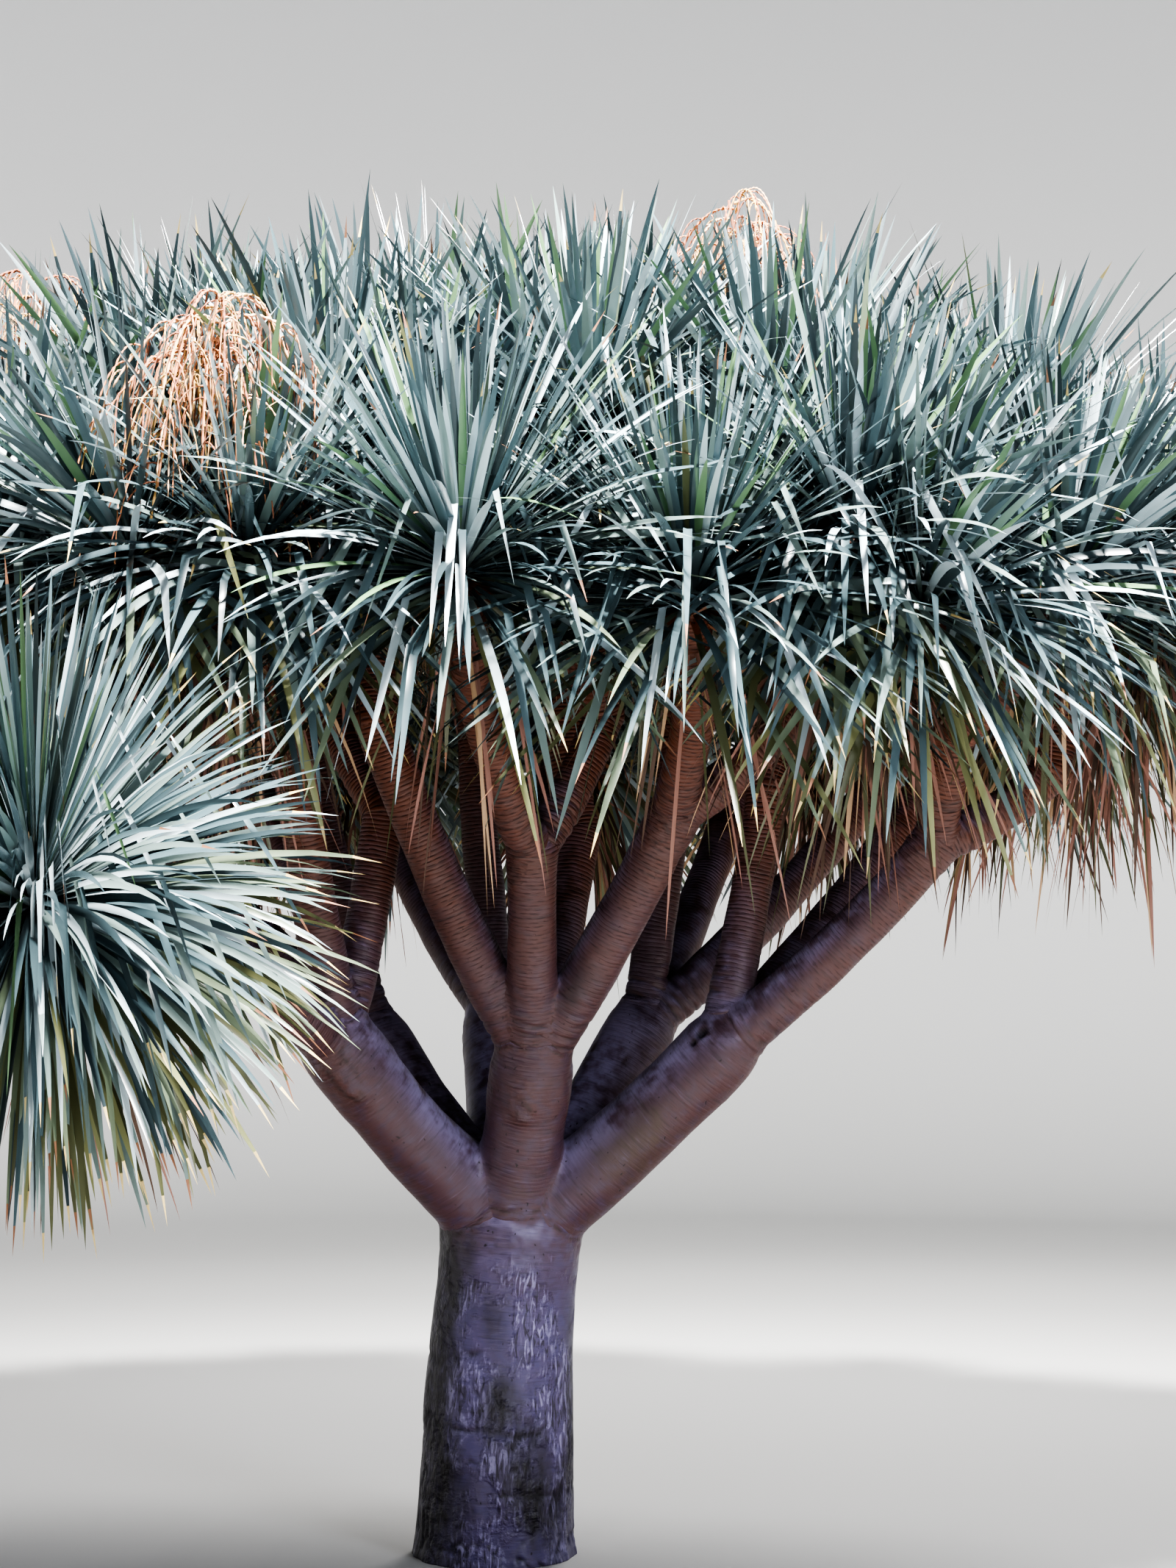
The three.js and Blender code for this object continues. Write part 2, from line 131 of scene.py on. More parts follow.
def seeded(seed: int) -> Callable[[], float]:
    """A draw that gives the same numbers between 0 and 1 every time, picked by a whole number."""
    state = (seed * 2654435761) % 4294967296

    def draw() -> float:
        """The next number of the series."""
        nonlocal state
        state = (state * 1664525 + 1013904223) % 4294967296
        return state / 4294967296

    return draw


def square_to(axis: Array) -> Pair:
    """Two directions square to an axis and to each other."""
    first = unit(np.cross(axis, [0.3, 1, 0.2]))
    return first, np.cross(axis, first)


class Noise:
    """Smooth seeded noise on a lattice that repeats after so many cells, between -1 and 1."""

    def __init__(self, seed: int, cells: int = 24) -> None:
        """Fills the lattice."""
        self.cells = cells
        self.values = np.random.default_rng(seed).uniform(-1, 1, (cells, cells, cells))

    def __call__(self, places: Array) -> Array:
        """The noise at each place, in rows of three coordinates counted in cells."""
        base = np.floor(places).astype(int)
        part = places - base
        part = part * part * (3 - 2 * part)
        total = np.zeros(len(places))
        for corner in np.ndindex(2, 2, 2):
            weight = np.prod(np.where(corner, part, 1 - part), axis=1)
            i, j, k = ((base + corner) % self.cells).T
            total += weight * self.values[i, j, k]
        return total

    def layered(self, places: Array, layers: int) -> Array:
        """Noise with finer layers added, each half as strong as the one before."""
        return sum(self(places * 2**n + 7.3 * n) * 0.5**n for n in range(layers))


@dataclass(frozen=True)
class Arc:
    """A flat curve from foot to tip that leans towards a control point."""

    foot: Array
    control: Array
    tip: Array

    @classmethod
    def between(cls, foot: Array, tip: Array, bow: float) -> Arc:
        """The curve that sags outwards, by that share of its length, before it rises."""
        chord = tip - foot
        outward = unit(chord * [1, 1, 0]) * chord[2] - UP * math.hypot(chord[0], chord[1])
        return cls(foot, (foot + tip) / 2 + outward * bow, tip)

    def points(self, shares: Array) -> Array:
        """The curve's points at those shares of its way."""
        at = np.asarray(shares)[:, None]
        return self.foot * (1 - at) ** 2 + self.control * 2 * at * (1 - at) + self.tip * at**2

    @property
    def ahead(self) -> Array:
        """The direction in which the tip points."""
        return unit(self.tip - self.control)


@dataclass(frozen=True)
class LimbSpec:
    """One bough or limb: azimuth and lean from upright in degrees, length, radius at foot and tip, and bow."""

    name: str
    azimuth: float
    lean: float
    length: float
    foot: float
    tip: float
    bow: float


LIMBS: Mapping[str, Sequence[LimbSpec]] = {
    "trunk": (
        LimbSpec("bough_front", -75, 28, 0.576, 0.118, 0.118, 0.03),
        LimbSpec("bough_left", -149, 50, 0.828, 0.120, 0.112, 0.04),
        LimbSpec("bough_right", -17, 53, 0.867, 0.120, 0.112, 0.04),
        LimbSpec("bough_back_left", 146, 46, 0.786, 0.118, 0.110, 0.05),
        LimbSpec("bough_back_right", 42, 44, 0.805, 0.118, 0.110, 0.05),
        LimbSpec("bough_back", 97, 45, 0.856, 0.116, 0.108, 0.05),
    ),
    "bough_front": (
        LimbSpec("limb_front_2", -91, 29, 0.620, 0.076, 0.068, 0.04),
        LimbSpec("limb_front_1", -146, 31, 1.059, 0.076, 0.062, 0.05),
        LimbSpec("limb_front_3", -36, 38, 0.820, 0.078, 0.070, 0.04),
        LimbSpec("limb_front_4", 68, 29, 0.720, 0.070, 0.060, 0.04),
    ),
    "limb_front_2": (
        LimbSpec("limb_front_2_left", -117, 41, 0.480, 0.060, 0.056, 0.08),
        LimbSpec("limb_front_2_right", 34, 33, 0.458, 0.062, 0.056, 0.08),
    ),
    "limb_front_3": (
        LimbSpec("limb_front_3_left", -83, 50, 0.352, 0.062, 0.058, 0.08),
        LimbSpec("limb_front_3_right", -13, 52, 0.461, 0.062, 0.056, 0.08),
    ),
    "bough_left": (
        LimbSpec("limb_left_1", -113, 76, 0.900, 0.074, 0.062, -0.08),
        LimbSpec("limb_left_2", -104, 18, 0.764, 0.072, 0.060, 0.04),
        LimbSpec("limb_left_3", 40, 19, 0.680, 0.068, 0.058, 0.04),
        LimbSpec("limb_left_4", -173, 43, 1.085, 0.072, 0.060, 0.07),
    ),
    "bough_right": (
        LimbSpec("limb_right_1", 45, 10, 0.741, 0.066, 0.058, 0.03),
        LimbSpec("limb_right_2", -15, 47, 0.823, 0.078, 0.068, 0.06),
        LimbSpec("limb_right_3", 36, 45, 1.093, 0.072, 0.060, 0.05),
    ),
    "limb_right_2": (
        LimbSpec("limb_right_2_near", -89, 35, 0.346, 0.062, 0.056, 0.08),
        LimbSpec("limb_right_2_far", 5, 60, 0.384, 0.064, 0.058, 0.1),
    ),
    "bough_back_left": (
        LimbSpec("limb_back_left_1", -171, 45, 1.218, 0.070, 0.058, 0.06),
        LimbSpec("limb_back_left_2", 125, 41, 1.156, 0.070, 0.058, 0.06),
        LimbSpec("limb_back_left_3", -148, 14, 1.070, 0.066, 0.056, 0.03),
    ),
    "bough_back_right": (
        LimbSpec("limb_back_right_1", 6, 6, 0.973, 0.066, 0.056, 0.03),
        LimbSpec("limb_back_right_2", 64, 43, 1.157, 0.070, 0.058, 0.06),
        LimbSpec("limb_back_right_3", 12, 45, 1.192, 0.070, 0.058, 0.06),
    ),
    "bough_back": (
        LimbSpec("limb_back_1", 130, 43, 1.151, 0.070, 0.058, 0.06),
        LimbSpec("limb_back_2", 76, 43, 1.127, 0.070, 0.058, 0.06),
        LimbSpec("limb_back_3", -171, 4, 1.060, 0.066, 0.056, 0.03),
    ),
}


@dataclass(frozen=True)
class MassSpec:
    """The foliage on one limb's tip: so many rosettes that find their own places, or one at a set place.

    leaf is how long its leaves are against the usual and slender how wide, bare the share of the leaves that
    would hang down below a rosette and are shed, and stub how many torn ends a flower stalk has left in it.
    """

    on: str
    rosettes: int
    azimuth: float = 0.0
    out: float = 0.0
    height: float = 0.0
    leaf: float = 1.0
    leaves: int = 0
    slender: float = 1.0
    bare: float = 0.9
    stub: int = 0

    @property
    def name(self) -> str:
        """What the mass's pieces are named after."""
        return self.on.removeprefix("limb_")


FREE_ROSETTES: Mapping[str, int] = dict(
    front_1=2, front_2_right=1, front_3_right=2, front_4=2, left_2=2, left_3=1, left_4=2,
    right_1=1, right_2_far=2, right_3=2, back_left_1=2, back_left_2=2, back_left_3=1,
    back_right_1=1, back_right_2=2, back_right_3=2, back_1=2, back_2=2, back_3=1,
)

MASSES: Sequence[MassSpec] = (
    MassSpec("limb_left_1", 1, -111, 0.606, 1.83, 0.98, leaves=1160, slender=0.8, bare=0.0, stub=14),
    MassSpec("limb_front_2_left", 1, -94, 0.411, 2.71, leaves=560, slender=0.86, bare=0.84),
    MassSpec("limb_front_3_left", 1, -94, 0.341, 2.65, leaves=580, slender=0.86, bare=0.8),
    MassSpec("limb_right_2_near", 1, -41, 0.369, 2.74, leaves=520, slender=0.88, bare=0.8),
    *(MassSpec(f"limb_{on}", rosettes) for on, rosettes in FREE_ROSETTES.items()),
)


@dataclass
class Limb:
    """A grown piece of wood: its curve, its radius at foot and tip, and the piece that it grows on."""

    name: str
    arc: Arc
    foot_radius: float
    tip_radius: float
    parent: Limb | None = None

    @property
    def is_bough(self) -> bool:
        """Whether it grows on the trunk."""
        return self.parent is not None and self.parent.name == "trunk"

    def radius_at(self, share: Array) -> Array:
        """Its radius at those shares of its way."""
        return self.foot_radius + (self.tip_radius - self.foot_radius) * share

    def samples(self, spacing: float) -> Pair:
        """Points along its middle with the radius there, up to the ball that fills the tip."""
        length = float(np.linalg.norm(self.arc.tip - self.arc.foot))
        shares = np.linspace(0, 1 - TIP_BALL * self.tip_radius / length, max(4, round(length / spacing)))
        return self.arc.points(shares), self.radius_at(shares)

    def neighbours(self, wood: Iterable[Limb]) -> list[Limb]:
        """The wood that it grows on, that grows on it, and that grows beside it."""
        parent = self.parent
        return [
            other
            for other in wood
            if other is not self
            and (other is parent or other.parent is self or (parent and other.parent is parent))
        ]


@dataclass
class Head:
    """The end of a twig that carries a rosette."""

    mass: int
    fixed: bool
    place: Array
    rise: float = 0.0
    leaves: int = 0
    size: float = 1.0
    axis: Array = field(default_factory=UP.copy)


@dataclass
class Skeleton:
    """The tree's middle lines, grown by the rule of the source."""

    trunk_height: float = 1.01
    trunk_lean: float = 0.052
    trunk_foot: float = 0.226
    fork_radius: float = 0.23
    root_depth: float = 0.4
    bough_depth: float = 0.06
    root_spread: float = 0.5
    crown_centre: float = 0.05
    crown_sideways: float = 1.96
    crown_front: float = 1.26
    crown_back: float = 1.9
    dome_top: float = 3.3
    fall_sideways: float = 0.11
    fall_front: float = 0.36
    fall_back: float = 0.2
    uneven_dome: float = 0.06
    spacing: float = 0.59
    start_out: float = 1.25
    spread_rounds: int = 80
    push_share: float = 0.3
    stem_share: float = 0.4
    stem_bow: float = 0.06
    twig_bow: float = 0.14
    fixed_rise: float = 0.25
    free_rise: float = 0.6
    limbs: dict[str, Limb] = field(default_factory=dict)
    heads: list[Head] = field(default_factory=list)

    def grow(self) -> None:
        """Grows the trunk, the limbs and the rosettes' heads."""
        foot, tip = np.zeros(3), np.array([self.trunk_lean, 0, self.trunk_height])
        arc = Arc(foot, UP * self.trunk_height / 2, tip)
        self.limbs["trunk"] = Limb("trunk", arc, self.trunk_foot, self.fork_radius)
        for parent, specs in LIMBS.items():
            for spec in specs:
                self.limbs[spec.name] = self.grow_limb(spec, self.limbs[parent])
        self.heads = [head for index, spec in enumerate(MASSES) for head in self.start_heads(index, spec)]
        for _ in range(self.spread_rounds):
            self.spread_heads()
        for head in self.heads:
            if not head.fixed:
                head.place[2] = self.dome_height(head.place) + head.rise

    def grow_limb(self, spec: LimbSpec, parent: Limb) -> Limb:
        """Grows one limb out of its parent's rounded tip, on the side that it leaves by.

        Args:
            spec: The limb's sizes.
            parent: The piece that it grows on.

        Returns:
            The limb.
        """
        lean = math.radians(spec.lean)
        start, ahead = parent.arc.tip, parent.arc.ahead
        tip = start + spec.length * (level(spec.azimuth, math.sin(lean)) + UP * math.cos(lean))
        leaving = unit(tip - start)
        sideways = leaving - ahead * leaving.dot(ahead)
        depth = self.bough_depth if parent.name == "trunk" else self.root_depth
        foot = start + parent.tip_radius * (self.root_spread * sideways - depth * ahead)
        return Limb(spec.name, Arc.between(foot, tip, spec.bow), spec.foot, spec.tip, parent)

    def start_heads(self, index: int, spec: MassSpec) -> list[Head]:
        """The heads of one mass before they are spread.

        Args:
            index: The mass's place in the list.
            spec: The mass.

        Returns:
            Its heads.
        """
        tip = self.limbs[spec.on].arc.tip
        if spec.out:
            place = (tip + level(spec.azimuth, spec.out)) * [1, 1, 0] + UP * spec.height
            return [Head(index, True, place, leaves=spec.leaves, size=spec.leaf)]
        draw = seeded(index + 1)
        outward = tip * [self.start_out, self.start_out, 0]
        outward[0] = self.crown_centre + (tip[0] - self.crown_centre) * self.start_out
        turn = draw() * 360
        heads = []
        for k in range(spec.rosettes):
            place = outward + level(turn + k * 360 / spec.rosettes, self.spacing / 2)
            heads.append(Head(index, False, place, rise=(draw() - 0.5) * self.uneven_dome))
        return heads

    def spread_heads(self) -> None:
        """Pushes the free heads one step apart and keeps them within the crown's reach."""
        for head in self.heads:
            if head.fixed:
                continue
            for other in self.heads:
                apart = (head.place - other.place) * [1, 1, 0]
                short = self.spacing - float(np.linalg.norm(apart))
                if other is not head and short > 0:
                    head.place += unit(apart) * short * (2 if other.fixed else 1) * self.push_share
            share = self.out_share(head.place)
            if share > 1:
                head.place[0] = self.crown_centre + (head.place[0] - self.crown_centre) / share
                head.place[1] /= share

    def out_share(self, place: Array) -> float:
        """How far out a place is, 1 at the crown's reach."""
        depth = self.crown_front if place[1] < 0 else self.crown_back
        return math.hypot((place[0] - self.crown_centre) / self.crown_sideways, place[1] / depth)

    def dome_height(self, place: Array) -> float:
        """Height of the dome that the free heads stand on."""
        fall = self.fall_front if place[1] < 0 else self.fall_back
        return self.dome_top - self.fall_sideways * (place[0] - self.crown_centre) ** 2 - fall * place[1] ** 2


class Signal:
    """A value in a shader. Each operator on it adds a Math node."""

    def __init__(self, bench: Bench, socket: bpy.types.NodeSocket) -> None:
        """Keeps the socket and the bench that it is on."""
        self.bench = bench
        self.socket = socket

    def math(self, operation: str, *values: Signal | float) -> Signal:
        """A Math node on this value and the others."""
        return self.bench.add("ShaderNodeMath", {"operation": operation}, dict(enumerate((self, *values))))

    __add__ = __radd__ = partialmethod(math, "ADD")
    __mul__ = __rmul__ = partialmethod(math, "MULTIPLY")
    __sub__ = partialmethod(math, "SUBTRACT")
    __truediv__ = partialmethod(math, "DIVIDE")
    __abs__ = partialmethod(math, "ABSOLUTE")

    def __rsub__(self, other: float) -> Signal:
        """A number less this value."""
        return self * -1 + other

    def ease(self, low: float, high: float) -> Signal:
        """0 up to low, 1 from high on, with a smooth step between, or the other way round if high is lower."""
        inputs = {0: self, 1: min(low, high), 2: max(low, high), 3: float(low > high), 4: float(low < high)}
        return self.bench.add("ShaderNodeMapRange", {"interpolation_type": "SMOOTHSTEP"}, inputs)


class Bench:
    """The nodes of one material."""

    def __init__(self, name: str) -> None:
        """Makes the material and empties it."""
        self.material = bpy.data.materials.new(name)
        self.material.use_nodes = True
        self.tree = self.material.node_tree
        self.tree.nodes.clear()

    def add(
        self,
        kind: str,
        settings: Mapping[str, object] | None = None,
        inputs: Mapping[int | str, object] | None = None,
        output: int | str = 0,
    ) -> Signal:
        """Adds a node.

        Args:
            kind: The node's type.
            settings: What is set on the node itself, first.
            inputs: The value or the signal for each socket.
            output: The socket that is handed on.

        Returns:
            The node's output.
        """
        node = self.tree.nodes.new(kind)
        for key, value in (settings or {}).items():
            setattr(node, key, value)
        for key, value in (inputs or {}).items():
            if isinstance(value, Signal):
                self.tree.links.new(value.socket, node.inputs[key])
            else:
                node.inputs[key].default_value = value
        return Signal(self, node.outputs[output])

    def attribute(self, name: str, output: str = "Fac") -> Signal:
        """A value or vector that a mesh carries at its corners."""
        return self.add("ShaderNodeAttribute", {"attribute_name": name}, output=output)

    def noise(self, place: Signal, stretch: Triple, detail: int, warp: float = 0.0) -> Signal:
        """Noise between 0 and 1.

        Args:
            place: The vector that it reads.
            stretch: Cells per metre along each axis.
            detail: Finer layers.
            warp: How far the cells are pulled out of shape.

        Returns:
            The noise.
        """
        wide = self.add("ShaderNodeVectorMath", {"operation": "MULTIPLY"}, {0: place, 1: stretch})
        inputs = {"Vector": wide, "Scale": 1.0, "Detail": detail, "Distortion": warp}
        return self.add("ShaderNodeTexNoise", None, inputs)

    def mix(self, factor: Signal | float, first: Signal | Colour, second: Signal | Colour) -> Signal:
        """The first colour where the factor is 0, the second where it is 1."""
        settings = {"data_type": "RGBA", "clamp_factor": True}
        return self.add("ShaderNodeMix", settings, {0: factor, 6: first, 7: second}, output=2)

    def finish(self, inputs: Mapping[str, object], height: Signal | None = None) -> bpy.types.Material:
        """Adds the surface.

        Args:
            inputs: Values and signals for the Principled shader.
            height: Fine relief in metres.

        Returns:
            The material.
        """
        sockets = dict(inputs)
        if height is not None:
            bump = {"Strength": 1.0, "Distance": 1.0, "Height": height}
            sockets["Normal"] = self.add("ShaderNodeBump", None, bump)
        surface = self.add("ShaderNodeBsdfPrincipled", None, sockets)
        node = self.tree.nodes.new("ShaderNodeOutputMaterial")
        self.tree.links.new(surface.socket, node.inputs["Surface"])
        return self.material


def plain_paint(name: str, colour: Colour, roughness: float) -> bpy.types.Material:
    """The material of one plain colour, made on its first use."""
    if name in bpy.data.materials:
        return bpy.data.materials[name]
    return Bench(name).finish({"Base Color": colour, "Roughness": roughness})


@dataclass(frozen=True)
class Bark:
    """Satin bark that turns from lavender grey at the trunk's foot to orange brown under the leaves.

    A mesh that wears it carries: skin, the place on the unrolled limb; rows, the place between two rows of
    leaf scars; around, how many scars go round; age, 0 at the trunk's foot and 1 on the youngest wood; crease,
    1 in a fork; crevice, 1 in a crack; rough, 1 where old bark crinkles; stain, 1 where rain has
    blackened it, and on the trunk's left flank also where shade is painted; moss, 1 where it has a greenish
    film.
    """

    name: str = "dragon_tree_bark"
    # The trunk's lavender grey is partly the bark's own grey and partly painted cool skylight.
    trunk: Colour = tone(72, 65, 102)
    bough: Colour = tone(66, 48, 58)
    limb: Colour = tone(78, 48, 42)
    young: Colour = tone(104, 56, 33)
    # light lavender: painted skylight sheen on upward faces and painted highlights on ridges
    painted_sheen: Colour = tone(142, 136, 172)
    # rust brown of the bark in forks, and painted shade on downward-facing sides
    rust_and_shade: Colour = tone(76, 44, 36)
    moss: Colour = tone(62, 54, 34)
    dark: Colour = tone(20, 15, 20)
    roughness: float = 0.42
    specular: float = 0.4

    def material(self) -> bpy.types.Material:
        """The material, made on its first use.

        Returns:
            The material.
        """
        if self.name in bpy.data.materials:
            return bpy.data.materials[self.name]
        bench = Bench(self.name)
        skin = bench.attribute("skin", "Vector")
        marks = ("age", "crease", "crevice", "stain", "moss", "rough")
        age, crease, crevice, stain, moss, rough = map(bench.attribute, marks)
        old = age.ease(0.62, 0.3)
        broad = bench.noise(skin, (6, 6, 4), 3)
        mottle = bench.noise(skin, (26, 26, 34), 3)
        stripes = bench.noise(skin, (12, 12, 130), 3, 0.4)
        crinkles = bench.noise(skin, (62, 62, 15), 3, 1.4)
        folds = bench.noise(skin, (24, 24, 9), 2, 1.8)
        pits = bench.noise(skin, (70, 70, 50), 1).ease(0.73, 0.77)
        patches = (rough * 0.6 + (broad - 0.5) * 3.6 + (mottle - 0.5) * 1.2).ease(0.2, 0.75)
        rough = patches * rough.ease(0.0, 0.25)
        scar, lip = self.scar(bench, skin)
        scar = scar * age.ease(0.25, 0.95) * (0.35 + mottle * 0.9)
        normal = bench.add("ShaderNodeNewGeometry", output="Normal")
        upward = bench.add("ShaderNodeSeparateXYZ", None, {0: normal}, 2)
        # patches where the painted skylight sheen lies, strongest on the old wood
        sheen_patches = (broad * 0.6 + mottle * 0.4).ease(0.36, 0.58) * (1.0 - age * 0.85)
        film = broad.ease(0.42, 0.3) * mottle.ease(0.35, 0.6) * old * 0.2
        speckles = mottle.ease(0.35, 0.65) * 0.6
        coats = (
            (age.ease(0.08, 0.42), self.bough),
            ((age + (broad - 0.5) * 0.6).ease(0.42, 0.78), self.limb),
            ((age + (mottle - 0.5) * 0.4).ease(0.66, 0.98), self.young),
            # lighter lavender on upward-facing sides: painted skylight sheen
            (upward.ease(-0.15, 0.6) * sheen_patches, self.painted_sheen),
            # darker rust brown on downward-facing sides: painted shade
            (upward.ease(0.4, -0.8) * mottle.ease(0.25, 0.6) * 0.6, self.rust_and_shade),
            # lighter along the fine ridges: painted highlight
            (stripes.ease(0.58, 0.8) * old * 0.14, self.painted_sheen),
            (stripes.ease(0.47, 0.3) * (0.24 + age * 0.16), self.dark),
            (film + moss * mottle * 0.7, self.moss),
            # darker in the troughs of the folds and crinkles: painted shade; lighter on the crinkles' crests:
            # painted highlight
            (folds.ease(0.44, 0.34) * rough * 0.35, self.dark),
            (crinkles.ease(0.46, 0.36) * rough * 0.75, self.dark),
            (crinkles.ease(0.52, 0.62) * rough * 0.8, self.painted_sheen),
            (pits * old * 0.8, self.dark),
            (crease * speckles, self.rust_and_shade),
            # darkest deep in the fork: painted shade in the crease
            (crease.ease(0.6, 1.0) * speckles, self.dark),
            (scar * 0.85, self.dark),
            (crevice * 0.85, self.dark),
            # darker where stained, and on the trunk's left flank painted shade
            (stain * (0.4 + folds * 0.6 + mottle * 0.4), self.dark),
        )
        colour: Signal | Colour = self.trunk
        for factor, coat in coats:
            colour = bench.mix(factor, colour, coat)
        height = lip * age * age * 0.0018 - scar * 0.0014 + stripes * (0.0009 + age * 0.0016)
        height = height + (crinkles * 0.0045 + folds * 0.006) * rough + mottle * (0.0016 + crease * 0.006)
        gloss = self.roughness + (mottle - 0.5) * 0.25 + age * 0.13 + scar * 0.15 + crevice * 0.2 + rough * 0.05
        sockets = {"Base Color": colour, "Roughness": gloss, "Specular IOR Level": self.specular}
        return bench.finish(sockets, height - pits * 0.001)

    def scar(self, bench: Bench, skin: Signal) -> tuple[Signal, Signal]:
        """Rows of leaf scars: short dark lenses, staggered from row to row.

        Args:
            bench: The material's nodes.
            skin: The place on the unrolled limb.

        Returns:
            The scar, 1 inside a lens, and the swell of the bark between two rows.
        """
        rows = bench.attribute("rows")
        row = rows.math("FLOOR")
        along = abs(rows - row - 0.5)
        across = bench.add("ShaderNodeSeparateXYZ", None, {0: skin}, 0)
        over = bench.add("ShaderNodeSeparateXYZ", None, {0: skin}, 1)
        chance = bench.add("ShaderNodeTexWhiteNoise", {"noise_dimensions": "1D"}, {"W": row})
        around = bench.attribute("around")
        turn = over.math("ARCTAN2", across) * around / math.tau + row * 0.5 + chance * 0.34
        cell = turn.math("FLOOR")
        pair = bench.add("ShaderNodeCombineXYZ", None, {0: cell, 1: row})
        each = bench.add("ShaderNodeTexWhiteNoise", {"noise_dimensions": "2D"}, {"Vector": pair})
        side = (turn - cell - 0.5) / (0.2 + each * 0.28)
        lens = (1 - side * side) * (0.05 + each * 0.1)
        return (lens - along).ease(-0.05, 0.05) * each.ease(0.0, 0.25), along.ease(0.04, 0.36)


@dataclass(frozen=True)
class LeafPaint:
    """A plain leaf colour: the age of leaf that it is commonest on, how far it strays and how common it is."""

    colour: Colour
    roughness: float
    age: float = 0.0
    spread: float = 1.0
    share: float = 0.0


class LeafTint(Enum):
    """The colours that the leaves are dealt."""

    FRESH = LeafPaint(tone(94, 122, 88), 0.32, 0.08, 0.2, 0.35)
    # pale grey leaves, partly painted sunlit highlight on the leaves dealt it
    PALE_AND_SUNLIT = LeafPaint(tone(164, 178, 183), 0.27, 0.35, 0.45, 0.9)
    BLUE_GREEN = LeafPaint(tone(76, 94, 99), 0.27, 0.35, 0.4, 1.6)
    # deep blue green, partly painted shade on the leaves dealt it
    DEEP_AND_SHADED = LeafPaint(tone(50, 63, 67), 0.28, 0.3, 0.45, 1.3)
    GREY_GREEN = LeafPaint(tone(108, 124, 121), 0.28, 0.5, 0.4, 1.3)
    SAGE = LeafPaint(tone(104, 116, 96), 0.32, 0.8, 0.2, 0.9)
    YELLOW_GREEN = LeafPaint(tone(128, 130, 92), 0.34, 0.98, 0.09, 0.5)
    OLIVE = LeafPaint(tone(80, 82, 56), 0.36, 0.97, 0.12, 0.8)
    STRAW_TIP = LeafPaint(tone(194, 172, 118), 0.6)
    BROWN_TIP = LeafPaint(tone(132, 92, 68), 0.6)
    TAN = LeafPaint(tone(168, 138, 108), 0.7)
    PINK_BROWN = LeafPaint(tone(136, 98, 86), 0.7)
    UMBER = LeafPaint(tone(76, 56, 44), 0.75)
    SHEATH = LeafPaint(tone(150, 98, 68), 0.6)

    @property
    def index(self) -> int:
        """Its place among the tints."""
        return list(LeafTint).index(self)

    def material(self) -> bpy.types.Material:
        """The tint's material."""
        return plain_paint(f"leaf_{self.name.lower()}", self.value.colour, self.value.roughness)


GREENS = [tint for tint in LeafTint if tint.value.share]
WITHERED = [LeafTint.TAN, *[LeafTint.PINK_BROWN] * 2, *[LeafTint.UMBER] * 2, LeafTint.OLIVE]
TORN = [LeafTint.TAN, LeafTint.SHEATH, LeafTint.STRAW_TIP, LeafTint.BROWN_TIP]


class StrawTint(Enum):
    """The plain colours of the dried flower stalks: the bare stalk's first, then those of its strands."""

    STALK_BROWN = tone(128, 80, 54)
    STRAND_ORANGE = tone(188, 126, 86)
    STRAND_TAN = tone(202, 162, 126)
    STRAND_YELLOW = tone(192, 152, 92)
    STRAND_RUST = tone(142, 88, 64)

    def material(self) -> bpy.types.Material:
        """The colour's material."""
        return plain_paint(self.name.lower(), self.value, 0.7)


@dataclass(frozen=True)
class FloorPaint:
    """The studio's floor: its shade round the tree, further out where the key light falls, and far behind."""

    near: Colour = (0.35, 0.348, 0.344, 1.0)
    middle: Colour = (0.21, 0.209, 0.207, 1.0)
    far: Colour = (0.78, 0.778, 0.77, 1.0)
    inner: tuple[float, float] = (3.5, 8.0)
    outer: tuple[float, float] = (10.0, 24.0)
    roughness: float = 0.85

    def material(self) -> bpy.types.Material:
        """Makes the material."""
        bench = Bench("studio_floor")
        place = bench.add("ShaderNodeTexCoord", output="Object")
        distance = bench.add("ShaderNodeVectorMath", {"operation": "LENGTH"}, {0: place}, 1)
        colour = bench.mix(distance.ease(*self.inner), self.near, self.middle)
        colour = bench.mix(distance.ease(*self.outer), colour, self.far)
        return bench.finish({"Base Color": colour, "Roughness": self.roughness})


class Path:
    """Evenly spaced points along the middle of a limb, with the directions across it at each."""

    def __init__(self, points: Array, step: float, soften: float = 0.0) -> None:
        """Spaces the points evenly.

        Args:
            points: The line's corners.
            step: How far apart the points are.
            soften: The length over which a bend is rounded off.
        """
        reached = np.concatenate([[0], np.cumsum(np.linalg.norm(np.diff(points, axis=0), axis=1))])
        count = max(8, round(reached[-1] / step) + 1)
        self.along = np.linspace(0, reached[-1], count)
        self.points = np.stack([np.interp(self.along, reached, points[:, axis]) for axis in range(3)], axis=1)
        window = int(soften / step / 2)
        if window:
            before = 2 * self.points[0] - self.points[window:0:-1]
            after = 2 * self.points[-1] - self.points[-2 : -window - 2 : -1]
            padded = np.concatenate([before, self.points, after])
            weights = np.hanning(2 * window + 3)[1:-1]
            weights /= weights.sum()
            smooth = [np.convolve(padded[:, axis], weights, "valid") for axis in range(3)]
            self.points = np.stack(smooth, axis=1)
        self.ahead = unit(np.gradient(self.points, axis=0))
        chord = points[-1] - points[0]
        side = np.array([-chord[1], chord[0], 0.0])
        sides = []
        for ahead in self.ahead:
            side = unit(side - ahead * side.dot(ahead))
            sides.append(side)
        self.side = np.array(sides)
        self.over = np.cross(self.ahead, self.side)


